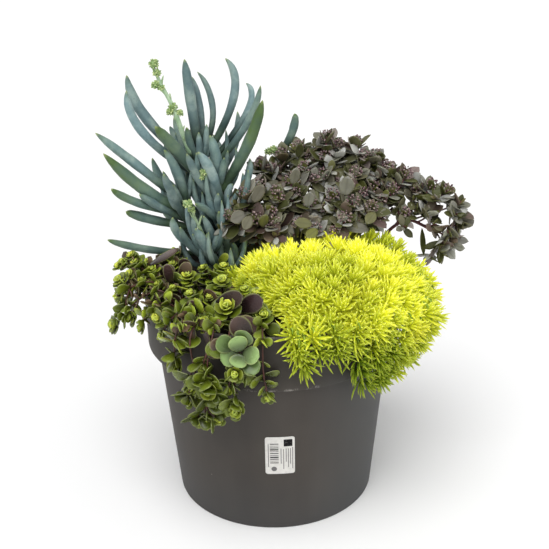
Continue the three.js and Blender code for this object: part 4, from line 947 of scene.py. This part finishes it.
# Young stems are smooth, mottled and half glossy, and the buds are dusky with paler tips.
crimson, tree, place, along, tone, kind = finish_named("crimson_stem_and_bud", "place", "along", "tone", "kind")
mottle = add(tree, "TexNoise", {"Vector": place, "Scale": 140.0, "Detail": 3.0})
stem_hue = add(tree, "ValToRGB", [mottle], stops=[(0.35, "#421C26"), (0.65, "#6E3340")])
bud_hue = add(tree, "ValToRGB", [tone], stops=[(0.0, "#4A3438"), (0.6, "#78585E"), (1.0, "#A08C88")])
bud_tip = add(tree, "MapRange", [along, 0.55, 1.0, 0.0, 0.5])
bud_both = add(tree, "MixRGB", [bud_tip, bud_hue, "#C6B8B0"])
mixed = add(tree, "MixRGB", [kind, stem_hue, bud_both])
skin = add(tree, "BsdfPrincipled", {"Base Color": mixed, "Roughness": 0.5})
add(tree, "OutputMaterial", [skin])
grown("dark_stonecrop_stems_and_buds", [
    (tubes(trunks, DARK_STEM_RADIUS, 10, 0.7), 0.3, 0.0), (tubes(twigs, TWIG_RADIUS, 7), 0.3, 0.0),
    (tubes(joins, 0.8, 5), 0.3, 0.0), (tubes(inner_line, 1.2, 6), 0.3, 0.0), (tubes(side_line, 0.9, 5), 0.3, 0.0),
    (leaves(bud_at - bud_way, bud_way, across_of(bud_way)[0], bud_size, bud_size * 0.7, bud_size * 0.7,
            ([0, 0.35, 0.75, 1], [0.4, 1, 0.75, 0]), 4, 5), draw(bud_seed, 9), 1.0),
], crimson, "dark_leaf")


# Green stonecrop: trailing red-brown stems with opposite pairs of round spoon-shaped leaves, each
# stem ending in a rose of small cupped leaves round a yellow-green heart. Rims are pale or reddish.
GREEN_STEM_RADIUS = 1.0
GREEN_STEMS = {
    "far_left": [[-106, 2], [-120, -4, 250], [-142, -10, 262], [-160, -12, 262]],
    "left_upright": [[-112, -14], [-118, -15, 246], [-124, -14, 257]],
    "left_upper": [[-102, -28], [-122, -34, 252], [-142, -38, 250], [-160, -30, 236]],
    "left_long": [[-92, -54], [-112, -52, 250], [-134, -48, 240], [-151, -44, 222], [-163, -44, 209]],
    "left_middle": [[-84, -68], [-104, -74, 246], [-122, -68, 238], [-133, -65, 215]],
    "left_front": [[-72, -86], [-86, -94, 248], [-100, -98, 238], [-110, -93, 220]],
    "star": [[-62, -92], [-70, -104, 248], [-80, -114, 240]],
    "pale": [[-70, -64], [-76, -70, 244], [-81, -75, 257]],
    "pink": [[-32, -78], [-40, -88, 242], [-44, -97, 250]],
    "inner_high": [[-58, -20], [-55, -20, 246], [-50, -20, 261]],
    "inner_middle": [[-54, -46], [-51, -50, 244], [-50, -50, 258]],
    "inner_left": [[-84, -36], [-84, -39, 246], [-85, -40, 260]],
    "inner_right": [[-30, -46], [-29, -56, 242], [-28, -60, 253]],
    "rim_right": [[-14, -84], [-12, -92, 234], [-10, -99, 242]],
    "hang_left": [[-76, -96], [-82, -108, 246], [-91, -121, 238], [-95, -116, 215], [-96, -112, 197]],
    "hang_lowest": [[-66, -100], [-70, -112, 246], [-78, -130, 235], [-76, -129, 205], [-68, -133, 165],
                    [-66, -130, 143]],
    "hang_long": [[-52, -108], [-54, -122, 246], [-57, -138, 238], [-62, -141, 215], [-61, -147, 188]],
    "hang_large": [[-38, -108], [-39, -122, 245], [-41, -142, 239], [-38, -149, 224], [-36, -152, 209]],
    "hang_right": [[-26, -110], [-27, -124, 245], [-29, -142, 236], [-36, -146, 205], [-37, -148, 166]],
    "hang_red": [[-10, -112], [-10, -126, 243], [-10, -142, 234], [-10, -144, 205], [-6, -146, 178]],
}
UPRIGHT_SHOOTS = [
    [-156, -10, 266], [-147, -6, 271], [-142, -12, 265], [-137, -24, 248], [-152, -30, 243], [-159, -33, 234],
    [-132, 0, 261], [-115, 10, 262], [-147, -20, 255], [-129, -60, 229], [-156, -28, 252], [-118, -34, 249],
    [-104, 16, 266], [-17, -66, 251], [-28, -40, 252], [-62, -70, 250], [-100, -46, 250], [-104, -2, 257],
    [-66, -112, 241], [-72, -10, 257],
]
HANGING_SHOOTS = [
    [-145, -44, 218], [-79, -126, 180], [-84, -119, 162], [-55, -140, 172], [-54, -134, 149], [-74, -124, 141],
    [-44, -142, 186], [-24, -148, 199], [-66, -134, 206], [-112, -84, 236], [-68, -132, 178],
]
ROUND = ([0, 0.12, 0.3, 0.5, 0.7, 0.86, 0.95, 1], [0.3, 0.48, 0.82, 1.0, 0.97, 0.76, 0.48, 0])
SPOON = ([0, 0.12, 0.3, 0.5, 0.7, 0.86, 0.95, 1], [0.2, 0.26, 0.52, 0.88, 1.0, 0.84, 0.5, 0])


def upright_shoot(tip):
    """The table points of a shoot known by its tip: up from the soil a little inwards of it."""
    tip = np.array(tip, float)
    foot = tip[:2] * min(1 - 12 / np.hypot(*tip[:2]), 116 / np.hypot(*tip[:2]))
    return [list(foot), [*(foot * 0.5 + tip[:2] * 0.5), (tip[2] + 238) / 2], list(tip)]


def side_shoot(tip, mains):
    """A side shoot's points: it leaves the nearest main stem about 26 mm higher up, and bows outwards."""
    tip = np.array(tip, float)
    start = mains[np.argmin(np.linalg.norm(mains - tip - [0, 0, 26], axis=1))]
    return [start, start * 0.45 + tip * 0.55 + 5 * unit(tip * [1, 1, 0]), tip]


# Pairs of leaves: millimetres back from a stem's tip, then millimetres on from its foot for three more
# where it hangs over the rim, and the size of each pair.
PAIR_BEHIND = [6, 10.5, 15.5, 21, 28, 37, 47, 58]
PAIR_OVER_RIM = [36, 45, 54]
PAIR_SIZES = [0.9, 1.05, 1.2, 1.15, 1.0, 0.9, 0.8, 0.7, 0.95, 0.95, 0.95]
HANGING_BELOW = 226
SHADED_BELOW = 224
# Boxes kept free of small leaves for the large single ones: lowest and highest corner.
KEPT_CLEAR = [
    ([-58, -np.inf, 212], [-14, -132, np.inf]),
    ([-46, -130, 226], [-14, np.inf, np.inf]),
    ([-64, -98, 236], [-4, -62, np.inf]),
]
# Size of the roses of some stems. A rose's tiers are (leaves, splay, length, mm out from the tip, kind).
ROSE_SIZES = {"pink": 1.55, "hang_long": 1.5, "hang_large": 1.15, "left_upper": 0.8, "inner_middle": 1.15,
              "star": 1.15, "inner_left": 1.2, "left_upright": 0.9, "rim_right": 1.15}
ROSE_TIERS = [(4, 1.3, 10.5, -3.5, 0.12), (4, 0.95, 8.6, -2.0, 0.28), (3, 0.6, 6.6, -0.5, 0.44),
              (3, 0.28, 4.8, 0.6, 0.5)]
green_paths = [smooth_path(points, 60) for points in GREEN_STEMS.values()]
mains = np.concatenate([path[20:] for path in green_paths])
green_paths += [smooth_path(upright_shoot(tip), 60) for tip in UPRIGHT_SHOOTS]
green_paths += [smooth_path(side_shoot(tip, mains), 60, rooted=False) for tip in HANGING_SHOOTS]
green_paths = np.array(green_paths)
shoots = np.arange(len(green_paths))
runs = np.linalg.norm(np.diff(green_paths, axis=1), axis=2).sum(axis=1)
rows = []
for n, path in enumerate(green_paths):
    hangs = path[-1][2] < HANGING_BELOW
    over_rim = [runs[n] - far for far in PAIR_OVER_RIM] if hangs and runs[n] > 70 else []
    for k, behind in enumerate(PAIR_BEHIND + over_rim):
        at = int(59 * (1 - (behind + 3 * draw(n, k + 40)) / runs[n]))
        if at < 14 or (hangs and behind > 20 and path[at][2] < 230 and draw(n, k + 90) > 0.3):
            continue
        for half in range(2):
            long = (10.0 + 9 * draw(n, 60 + 2 * k + half) ** 1.3) * PAIR_SIZES[k]
            rows.append((path[at], unit(path[min(at + 2, 59)] - path[at - 2]),
                         QUARTER_TURN * k + np.pi * half + 6 * draw(n, 50),
                         long * (0.85 if path[-1][0] < -125 else 1.0), 100 * n + 2 * k + half))
roots, axis_rows, turns, lengths, seeds = [np.array(row) for row in zip(*rows)]
way = leaning(axis_rows, turns + 0.8 * (draw(seeds, 2) - 0.5), 1.0 + 0.8 * (draw(seeds, 3) - 0.5))
way = unit(way + 0.25 * LIGHT)
red = (draw(seeds, 11) > np.where(roots[:, 0] < -92, 0.68, 0.8)) & (roots[:, 2] > 232)
shown = ~np.any([np.all((roots > low) & (roots < high), axis=1) for low, high in KEPT_CLEAR], axis=0)
roots, way, axis_rows, lengths, seeds, red = [row[shown] for row in (roots, way, axis_rows, lengths, seeds, red)]
low = roots[:, 2] < SHADED_BELOW
blades = leaves(roots, way, facing(way, axis_rows, 0.9), lengths, lengths * (0.74 + 0.16 * draw(seeds, 4)), 2.3,
                SPOON, 9, 8, curl=0.25 * (draw(seeds, 5) - 0.35), cup=0.08)
# Painted shade: pairs below the rim get darker tones, and those above a lift.
tone = draw(seeds, 6) * np.where(low, 0.48, 0.84) + np.where(low, 0.0, 0.16)
batches = [(blades, tone, np.where(red, 0.84, 0.26 * draw(seeds // 100, 7) * (0.6 + 0.4 * draw(seeds, 7))))]
ends = green_paths[:, -1]
outward = unit(ends * [1, 1, 0])
lean_out = np.where(ends[:, 2:] < 238, 0.9, 0.1)
rose_axis = unit(0.35 * unit(green_paths[:, -1] - green_paths[:, -6]) + lean_out * outward + [0, -0.15, 0.6])
rose_size = 0.62 + 0.5 * draw(shoots, 70) ** 1.5
for key, size in ROSE_SIZES.items():
    rose_size[list(GREEN_STEMS).index(key)] = size
opened = draw(shoots, 72) * 0.35
for tier, (count, splay, long, deep, kind) in enumerate(ROSE_TIERS):
    for k in range(count):
        seed = 80 + 8 * tier + k
        turn = 2 * np.pi * (k + 0.5 * (tier % 2)) / count + 6 * draw(shoots, 71)
        turn = turn + 0.3 * (draw(shoots, seed + 3) - 0.5)
        way = leaning(rose_axis, turn, splay + opened + 0.3 * (draw(shoots, seed) - 0.5))
        size = long * rose_size * (0.85 + 0.3 * draw(shoots, seed + 1))
        blades = leaves(ends + rose_axis * (deep * rose_size)[:, None], way, facing(way, rose_axis), size,
                        size * 0.95, 1.9, SPOON, 9, 8, curl=0.22, cup=0.24)
        # Painted shade: roses that hang below the rim get darker tones, and those above a lift.
        reach = np.where(ends[:, 2] < SHADED_BELOW, 0.4 + 0.1 * tier, 0.8)
        tone = draw(shoots, seed + 2) * reach + 0.08 * tier + 0.1 * (ends[:, 2] > SHADED_BELOW)
        batches.append((blades, tone, kind))
# Old leaves that lie on the soil between the stems, dark green and purple-brown. The fractions of the
# two steps' multiples spread evenly from 0 to 1.
EVEN_STEP = 0.618034
SECOND_STEP = 0.7548777
old = np.arange(90)
old_x, old_y = -125 + 118 * ((old * EVEN_STEP) % 1), -106 + 122 * ((old * SECOND_STEP) % 1)
inside = np.hypot(old_x, old_y) < 126
old, old_at = old[inside], np.stack([old_x, old_y, 227 + 9 * draw(old, 31)], axis=1)[inside]
old_turn = FULL_TURN * draw(old, 32)
old_way = unit(np.stack([np.cos(old_turn), np.sin(old_turn), 0.25 + 0.8 * draw(old, 33)], axis=1))
old_long = 12 + 7 * draw(old, 34)
blades = leaves(old_at, old_way, facing(old_way, np.array([0.0, 0.0, 1.0])), old_long, old_long * 0.82, 2.0,
                SPOON, 9, 8, curl=0.15, cup=0.2)
batches.append((blades, draw(old, 35) * 0.75, np.where(draw(old, 36) > 0.45, 0.92, 0.02)))
# Each large leaf: root x y z, tip x y z, width and kind, which is up to 0.3 for green, about 0.6 for
# pale green and about 0.9 for purple-brown.
LARGE_LEAVES = np.array([
    [-30, -147, 235, -24, -154, 253, 19, 0.62], [-36, -147, 231, -51, -145, 239, 18, 0.6],
    [-30, -152, 231, -34, -155, 248, 19, 0.64], [-32, -150, 228, -47, -150, 222, 18, 0.62],
    [-29, -150, 228, -14, -157, 228, 18, 0.66], [-29, -149, 220, -15, -156, 213, 18, 0.6],
    [-30, -152, 229, -34, -156, 219, 17, 0.66], [-29, -148, 214, -24, -152, 200, 14, 0.2],
    [-48, -142, 226, -55, -143, 239, 15, 0.86], [-38, -139, 230, -59, -144, 228, 18, 0.0],
    [-53, -132, 232, -58, -140, 220, 15, 0.9], [-82, -92, 234, -70, -104, 262, 20, 0.92],
    [-57, -88, 249, -28, -97, 262, 19, 0.9], [-34, -90, 246, -9, -98, 258, 20, 0.92],
    [-42, -108, 228, -15, -117, 243, 24, 0.9], [-20, -137, 238, -38, -139, 257, 21, 0.9],
    [-49, -136, 237, -60, -141, 224, 14, 0.05], [-103, -40, 252, -105, -46, 277, 11, 0.92],
    [-94, -36, 255, -83, -38, 274, 14, 0.86], [-66, -62, 240, -56, -72, 256, 19, 0.88],
    [-118, -12, 246, -100, -20, 262, 17, 0.86], [-92, -6, 250, -89, -14, 270, 15, 0.92],
    [-56, -8, 262, -44, -18, 274, 9, 0.3], [-100, -48, 232, -92, -58, 246, 17, 0.88],
    [-68, -112, 224, -60, -124, 236, 16, 0.9], [-110, 12, 252, -122, 0, 268, 9, 0.92],
    [-128, -14, 262, -100, 4, 272, 8, 0.9], [-84, -110, 228, -92, -124, 222, 15, 0.2],
    [-78, -116, 230, -74, -132, 226, 16, 0.1], [-60, -136, 200, -64, -148, 210, 16, 0.1],
    [-66, -138, 196, -82, -141, 192, 14, 0.12], [-58, -140, 190, -44, -147, 188, 15, 0.15],
    [-58, -136, 176, -50, -146, 164, 20, 0.0], [-98, -30, 250, -92, -42, 264, 15, 0.55],
    [-52, -50, 250, -66, -58, 252, 12, 0.1], [-34, -66, 246, -24, -80, 240, 14, 0.1],
    [-20, -74, 244, -6, -86, 240, 13, 0.1], [-12, -104, 234, -26, -112, 236, 13, 0.3],
    [-8, -106, 232, 6, -112, 232, 14, 0.1],
], float)
blades = single_leaves(LARGE_LEAVES, np.array([0.0, -0.75, 0.45]), 2, 2.6, ROUND, 12, 0.1, 0.14)
batches.append((blades, 0.25 + 0.6 * draw(np.arange(len(LARGE_LEAVES)), 7), LARGE_LEAVES[:, 7]))
# A smooth skin without wax: glossy, from green to purple-brown, with a pale or reddish edge, and painted
# shade that darkens it towards its root.
green_leaf, tree, place, tone, edge, kind, along = finish_named(
    "green_succulent_leaf", "place", "tone", "edge", "kind", "along")
cloud = add(tree, "TexNoise", {"Vector": place, "Scale": 110.0, "Detail": 3.0})
hue = add(tree, "ValToRGB", [kind], stops=[
    (0.0, "#5C6C1A"), (0.2, "#90A22C"), (0.45, "#C8D24A"), (0.6, "#809E58"), (0.7, "#98B274"), (0.8, "#705E40"),
    (0.92, "#4E3A3A"),
])
shade = add(tree, "ValToRGB", [tone], stops=[
    (0.0, "#242424"), (0.45, "#7A7A7A"), (0.8, "#C4C4C4"), (1.0, "#F0F0F0"),
])
# Painted shade: each leaf darkens towards its root.
outer = add(tree, "ValToRGB", [along], stops=[(0.0, "#666666"), (0.4, "#AAAAAA"), (0.8, "#FFFFFF")])
root_shaded = add(tree, "MixRGB", [1.0, hue, outer], blend_type="MULTIPLY")
toned = add(tree, "MixRGB", [0.6, root_shaded, shade], blend_type="OVERLAY")
clouded = add(tree, "MixRGB", [0.3, toned, cloud], blend_type="OVERLAY")
rim = add(tree, "MapRange", [edge, 0.8, 1.0, 0.0, 0.38])
red_rims = add(tree, "MapRange", [tone, 0.78, 0.86])
rim_hue = add(tree, "MixRGB", [red_rims, "#C4CE82", "#9A6248"])
rimmed = add(tree, "MixRGB", [rim, clouded, rim_hue])
rough = add(tree, "MapRange", [cloud, 0.3, 0.7, 0.22, 0.36])
skin = add(tree, "BsdfPrincipled", {"Base Color": rimmed, "Roughness": rough, "Specular IOR Level": 0.42})
add(tree, "OutputMaterial", [skin])
grown("green_stonecrop_leaves", batches, green_leaf, "green_leaf", *[f"green_stem_{key}" for key in GREEN_STEMS])
# The stems' thin skin is mottled red-brown and half glossy.
red_stem = mottled("red_brown_stem", {"Scale": 120.0, "Detail": 3.0}, [(0.35, "#321A12"), (0.65, "#563026")],
                   Roughness=0.5)
green_tubes = tubes(green_paths, GREEN_STEM_RADIUS, 7)
grown("green_stonecrop_stems", [(green_tubes, draw(shoots, 1), 0.0)], red_stem, "green_leaf")


# Golden stonecrop: a dense cushion of short shoots set all round with soft needles, yellow where the
# light falls and green below. It rises over the front right and bulges down over the rim.
CUSHION_CENTRE = np.array([55.0, -32.0, 225.0])
CUSHION_TALL = 72.0
CUSHION_TURNS = [-180, -150, -130, -110, -90, -60, -30, 0, 30, 60, 90, 120, 150, 180]
CUSHION_REACH = [104, 84, 80, 96, 106, 110, 114, 108, 104, 99, 92, 92, 100, 104]
NEEDLE_WIDTH = 2.7
NEEDLE_OUTLINE = ([0, 0.3, 0.7, 0.92, 1], [0.7, 1, 0.92, 0.62, 0])
DOME_SHOOTS = 128
DOME_NEEDLES = 27
BURST_NEEDLES = 26


def cushion(turn, share, depth=0.0):
    """
    The dome: at a share s of its reach R, which follows the table of turns, a point stands
    (T - depth) (1 - s^2.25)^(1/2.25) over the centre, which is in the plane of the soil.
    """
    reach = (np.interp(np.degrees(turn), CUSHION_TURNS, CUSHION_REACH) - depth) * share
    height = (CUSHION_TALL - depth) * (1 - share ** 2.25) ** (1 / 2.25)
    return CUSHION_CENTRE + np.stack([reach * np.cos(turn), reach * np.sin(turn), height], axis=-1)


def needles(tip, axis, each, length, spread, seed, width=NEEDLE_WIDTH):
    """
    Needles of each shoot: needle k leaves the stem 9 (1 - k / each) mm below the tip, turned by the
    golden angle, splayed from spread at the bottom to a sixth of it at the tip, and curls up the stem.
    """
    k = np.tile(np.arange(each), len(tip))
    n = np.repeat(np.arange(len(tip)), each)
    length, spread, width = [np.broadcast_to(size, len(tip))[n] for size in (length, spread, width)]
    share = (k + 0.5) / each
    a = axis[n]
    root = tip[n] - a * (9 * (1 - share) + 2)[:, None]
    turn = GOLDEN_ANGLE * k + 6 * draw(n + seed, 1) + 0.3 * draw(k, n)
    way = leaning(a, turn, spread * (1 - 0.84 * share ** 1.5) + 0.3 * (draw(n, k + seed) - 0.5))
    long = length * (1.0 - 0.4 * share ** 2) * (0.82 + 0.36 * draw(k + seed, n))
    wide = width * (0.85 + 0.3 * draw(n, k))
    return leaves(root, way, facing(way, a), long, wide, wide * 0.8, NEEDLE_OUTLINE, 6, 5,
                  curl=0.3 * (1 - share) + 0.04)


shoot = np.arange(DOME_SHOOTS)
turn = (GOLDEN_ANGLE * shoot + np.pi) % (2 * np.pi) - np.pi
share = np.sqrt(1 - (0.12 + 0.87 * (shoot + 0.5) / DOME_SHOOTS) ** 2)
tips = cushion(turn, share, 7 * draw(shoot, 1))
rise = 0.4 + np.sqrt(1 - share ** 2)
axis = unit(np.stack([np.cos(turn) * share ** 2, np.sin(turn) * share ** 2, rise], axis=1)
            + 0.4 * (draw(shoot[:, None], np.array([2, 3, 4])) - 0.5))
dome = needles(tips - axis * 8, axis, DOME_NEEDLES, 17.0 + 4 * draw(shoot, 5), 1.5 - 0.35 * axis[:, 2], 0)
# How green, and so how shaded, each needle is painted: more at the back, at both sides and down its shoot.
far = (np.clip((tips[:, 1] + 4) / 38, 0, 1) + np.clip((tips[:, 0] - 110) * (tips[:, 1] + 30) / 3000, 0, 0.5)
       + 0.45 * np.clip(-tips[:, 0] / 40, 0, 1))
# Painted shade: the right side is painted greener to tone down the light there.
right = np.clip((tips[:, 0] - 60) / 80, 0, 1)
hue = (np.repeat(np.clip(0.06 + 0.64 * far + 0.16 * right + 0.12 * (draw(shoot, 6) - 0.4), 0, 1), DOME_NEEDLES)
       + 0.14 * (1 - np.tile((np.arange(DOME_NEEDLES) + 0.5) / DOME_NEEDLES, len(shoot))))

# The bulge over the rim: starbursts that face outwards. Those at the front hang apart on thin stems,
# and the right side is one mass that reaches 70 mm down the pot.
FRONT_BURSTS = [
    [18, -140, 240], [38, -141, 240], [58, -137, 240], [24, -146, 227], [44, -144, 225], [62, -137, 225],
    [30, -146, 211], [82, -130, 238], [80, -128, 222], [100, -118, 236], [98, -118, 214], [84, -124, 204],
    [88, -120, 188], [112, -108, 226], [104, -112, 198], [106, -106, 178], [92, -112, 172], [165.6, -62, 218.7],
    [24.6, -143, 223.8], [60.6, -135, 220.0],
]
BULGE_FOOT = 140
BULGE_TOP = 246
BULGE_TURNS = [-48, -38, -28, -18, -8, 2, 12]
BULGE_LOW = [172, 166, 168, 170, 184, 200, 224]
BULGE_SWELL = [158, 166, 173, 173, 168, 160, 150]
many = np.arange(48)
spin = -47 + 60 * ((many * EVEN_STEP) % 1)
fall = (many + 0.5) / len(many)
swell = (np.interp(spin, BULGE_TURNS, BULGE_SWELL) - BULGE_FOOT) * np.sin(np.pi * (0.3 + 0.6 * fall))
out = BULGE_FOOT + swell + 9 * (draw(many, 90) - 0.6)
height = BULGE_TOP - (BULGE_TOP - np.interp(spin, BULGE_TURNS, BULGE_LOW)) * fall
spin = np.radians(spin)
burst_tip = np.concatenate([FRONT_BURSTS, np.stack([out * np.cos(spin), out * np.sin(spin), height], axis=1)])
burst = np.arange(len(burst_tip))
burst_out = unit(burst_tip * [1, 1, 0])
burst_axis = unit(burst_out + np.array([0, 0, 1.0]) * np.clip((burst_tip[:, 2:] - 212) / 45, -0.35, 0.7)
                  + 0.45 * (draw(burst[:, None], np.array([92, 93, 94])) - 0.5))
in_front = burst < len(FRONT_BURSTS)
bursts = needles(burst_tip, burst_axis, BURST_NEEDLES, np.where(in_front, 20.0, 18.0) + 4 * draw(burst, 95),
                 1.45 + 0.2 * draw(burst, 96), 500, np.where(in_front, 2.3, 2.6))
# Painted shade: bursts are greener the lower they hang, less so on the right, and more on the left.
shade = (np.clip((BULGE_TOP - burst_tip[:, 2]) / 50, 0, 1) * np.where(burst_tip[:, 0] > 120, 0.45, 1.0)
         + 0.2 * (burst_tip[:, 0] < 70))
burst_hue = np.repeat(np.clip(0.3 + 0.8 * shade + 0.35 * (draw(burst, 97) - 0.5), 0, 1), BURST_NEEDLES)

# Leggy green shoots at the back, where the dark plant shades it.
SHADED_TIPS = [
    [-48, -20, 258], [-20, 4, 268], [-2, 12, 276], [16, 26, 286], [30, 24, 284], [44, 26, 290], [62, 14, 292],
    [76, 18, 291], [92, 22, 290], [108, 10, 288], [124, 4, 286], [136, -4, 281], [146, -20, 272], [152, -34, 262],
    [158, -48, 248],
]
shaded = np.array(SHADED_TIPS, float)
shaded_axis = unit(unit(shaded - CUSHION_CENTRE) * [1, 1, 0.6] + [0, 0, 0.7])
legs = needles(shaded - shaded_axis * 7, shaded_axis, BURST_NEEDLES, 17.0, 1.15, 900)
# Soft needles let a little light through. Their sunny yellow and shady green are painted light and shade,
# and a painted glow, strongest on the yellow ones, lifts their shadows.
needle_skin, tree, place, along, tone, kind = finish_named("golden_needle_leaf", "place", "along", "tone", "kind")
patch = add(tree, "TexNoise", {"Vector": place, "Scale": 26.0, "Detail": 2.0})
sunny = add(tree, "ValToRGB", [along], stops=[
    (0.0, "#D8DA28"), (0.3, "#EBEA34"), (0.8, "#F6F34E"), (1.0, "#FCFB90"),
])
warm = add(tree, "MapRange", [patch, 0.52, 0.68, 0.0, 0.3])
warmer = add(tree, "MixRGB", [warm, sunny, "#FBE848"])
shady = add(tree, "ValToRGB", [along], stops=[(0.0, "#44620C"), (0.5, "#809A18"), (1.0, "#B0C036")])
mixed = add(tree, "MixRGB", [kind, warmer, shady])
shade = add(tree, "ValToRGB", [tone], stops=[(0.0, "#727272"), (1.0, "#969696")])
toned = add(tree, "MixRGB", [0.4, mixed, shade], blend_type="OVERLAY")
# Painted glow: the needles give off light, most where they are yellow, to lift their shadows.
painted_glow = add(tree, "MapRange", [kind, 0.1, 0.9, 0.33, 0.04])
skin = add(tree, "BsdfPrincipled", {
    "Base Color": toned, "Roughness": 0.5, "Specular IOR Level": 0.3, "Subsurface Weight": 0.5,
    "Subsurface Radius": (1.0, 0.9, 0.3), "Subsurface Scale": 0.0015,
    "Emission Color": mixed, "Emission Strength": painted_glow,
})
add(tree, "OutputMaterial", [skin])
sprays = [f"golden_spray_{n}" for n in range(1, 10)]
dome_tone = draw(np.arange(len(hue)), 7)
grown("golden_cushion_needles", [(dome, dome_tone, hue)], needle_skin, "golden_leaf", "golden_cushion")
grown("golden_rim_needles", [
    (bursts, draw(np.arange(len(burst_hue)), 8), burst_hue),
    (legs, draw(np.arange(len(shaded) * BURST_NEEDLES), 9), 0.6),
], needle_skin, "golden_leaf", *sprays)

# The shaded heart of the cushion, a tangle of stems and old needles seen as dark green between them.
heart_turn, heart_share = np.meshgrid(
    np.linspace(-np.pi, np.pi, 73)[:-1], np.sin(np.linspace(np.pi / 2, 0, 20)[:-1]))
lump = (5 * np.sin(9 * heart_turn + 6 * heart_share) * np.sin(13 * heart_share)
        + 3 * np.sin(23 * heart_turn) * np.sin(19 * heart_share))
heart = cushion(heart_turn, heart_share, 20 + lump * np.sqrt(1.001 - heart_share))
rows, columns = heart.shape[:2]
heart_top = CUSHION_CENTRE + [0, 0, CUSHION_TALL - 20]
heart_points = np.concatenate([heart.reshape(-1, 3), [heart_top], [CUSHION_CENTRE]])
at = np.arange(rows * columns).reshape(rows, columns)
after = np.roll(at, -1, axis=1)
heart_quads = np.stack([at[:-1], after[:-1], after[1:], at[1:]], axis=-1).reshape(-1, 4)
heart_triangles = np.concatenate([
    np.stack([at[-1], after[-1], np.full(columns, rows * columns)], axis=1),
    np.stack([after[0], at[0], np.full(columns, rows * columns + 1)], axis=1),
])
tangle = mesh_of("golden_cushion_heart", heart_points, heart_triangles, heart_quads)
# The tangle is finer than the mesh, and shows as a rough, mottled yellow-green.
shaded_stems, tree, place = finish_named("shaded_stems", "place")
mesh_noise = add(tree, "TexNoise", {"Vector": place, "Scale": 170.0, "Detail": 4.0})
dim = add(tree, "ValToRGB", [mesh_noise], stops=[(0.35, "#9CA00E"), (0.65, "#CFCF2C")])
bump = add(tree, "Bump", {"Height": mesh_noise, "Strength": 1.0, "Distance": 0.003})
skin = add(tree, "BsdfPrincipled", {"Base Color": dim, "Roughness": 0.9, "Normal": bump})
add(tree, "OutputMaterial", [skin])
piece(tangle, shaded_stems, "golden_leaf")
burst_foot = np.concatenate([burst_out[:, :2] * 124, np.full((len(burst), 1), 232.0)], axis=1)
over_rim = np.hypot(burst_tip[:, 0], burst_tip[:, 1])[:, None]
burst_bend = np.concatenate([burst_out[:, :2] * over_rim, np.full((len(burst), 1), 256.0)], axis=1)
t = np.linspace(0, 1, 12)[None, :, None]
burst_stems = bent(burst_foot[:, None], burst_bend[:, None], burst_tip[:, None], t)
shoot_stems = straight(tips - axis * 26, tips - axis * 8, 12)[:, ::3]
# Thin stems, softly mottled and half matt.
pale_stem = mottled("yellow_green_stem", {"Scale": 120.0, "Detail": 2.0}, [(0.35, "#6E8E1E"), (0.65, "#9DB53A")],
                    Roughness=0.6)
grown("golden_stonecrop_stems", [
    (tubes(burst_stems, 1.1, 5), draw(burst, 2), 0.0), (tubes(shoot_stems, 1.0, 4), draw(shoot, 2), 0.0),
], pale_stem, "golden_leaf")


# Studio: a pale seamless floor, an even near-white surround and one large soft light from the upper
# left, as for a catalogue picture.
FLOOR_RADIUS = 20000
floor_profile = [[0, -4], [FLOOR_RADIUS, -4], [FLOOR_RADIUS, -0.2], [0, -0.2]]
floor = mesh_of("studio_floor", *turned(floor_profile, 96), smooth=False)
pale_floor, tree = finish_named("white_studio_floor")
skin = add(tree, "BsdfPrincipled", {"Base Color": "#F4F4F4", "Roughness": 0.9})
add(tree, "OutputMaterial", [skin])
floor.data.materials.append(pale_floor)
world = bpy.data.worlds.new("soft_surround")
world.use_nodes = True
sky = world.node_tree.nodes["Background"]
sky.inputs["Color"].default_value = (1, 1, 1, 1)
tree = world.node_tree
over_sky = add(tree, "SeparateXYZ", [add(tree, "TexCoord").outputs["Generated"]]).outputs["Z"]
haze = add(tree, "MapRange", [over_sky, 0.08, 0.3, 1.0, 0.46])
tree.links.new(haze.outputs[0], sky.inputs["Strength"])
bpy.context.scene.world = world
# Each light: name, the way it lies in, degrees wide and strength.
LIGHTS = [("key", [-0.15, -0.5, 1.0], 50, 2.35), ("fill", [0.8, -0.5, 0.5], 60, 0.45)]


def facing_matrix(right, up, back, place):
    """A world matrix whose columns are the three directions and the place."""
    return Matrix([[right[k], up[k], back[k], place[k]] for k in range(3)] + [[0, 0, 0, 1]])


for name, towards, wide, power in LIGHTS:
    lamp = bpy.data.lights.new(name, "SUN")
    lamp.angle, lamp.energy = np.radians(wide), power
    holder = bpy.data.objects.new(name, lamp)
    aim = unit(np.array(towards))
    across = unit(np.cross([0, 0, 1.0], aim))
    holder.matrix_world = facing_matrix(across, np.cross(aim, across), aim, aim)
    bpy.context.scene.collection.objects.link(holder)
bpy.context.scene.view_settings.view_transform = "Standard"

# Camera: about a metre in front of the pot and 23 degrees above it, aimed just over the rim and
# turned one degree anticlockwise.
CAMERA_RISE = np.radians(22.65)
CAMERA_DISTANCE = 1038.5
CAMERA_AIM = np.array([0, 0, 243.9])
CAMERA_ROLL = np.radians(-1.11)
back = np.array([0, -np.cos(CAMERA_RISE), np.sin(CAMERA_RISE)])
level, up = np.array([1.0, 0, 0]), np.array([0, np.sin(CAMERA_RISE), np.cos(CAMERA_RISE)])
right = level * np.cos(CAMERA_ROLL) + up * np.sin(CAMERA_ROLL)
over = up * np.cos(CAMERA_ROLL) - level * np.sin(CAMERA_ROLL)
place = (CAMERA_AIM + CAMERA_DISTANCE * back) * MM
lens = bpy.data.cameras.new("camera")
lens.sensor_width, lens.lens, lens.shift_x, lens.clip_end = 36.0, 64.39, 0.00455, 100.0
camera = bpy.data.objects.new("camera", lens)
camera.matrix_world = facing_matrix(right, over, back, place)
bpy.context.scene.collection.objects.link(camera)
bpy.context.scene.camera = camera
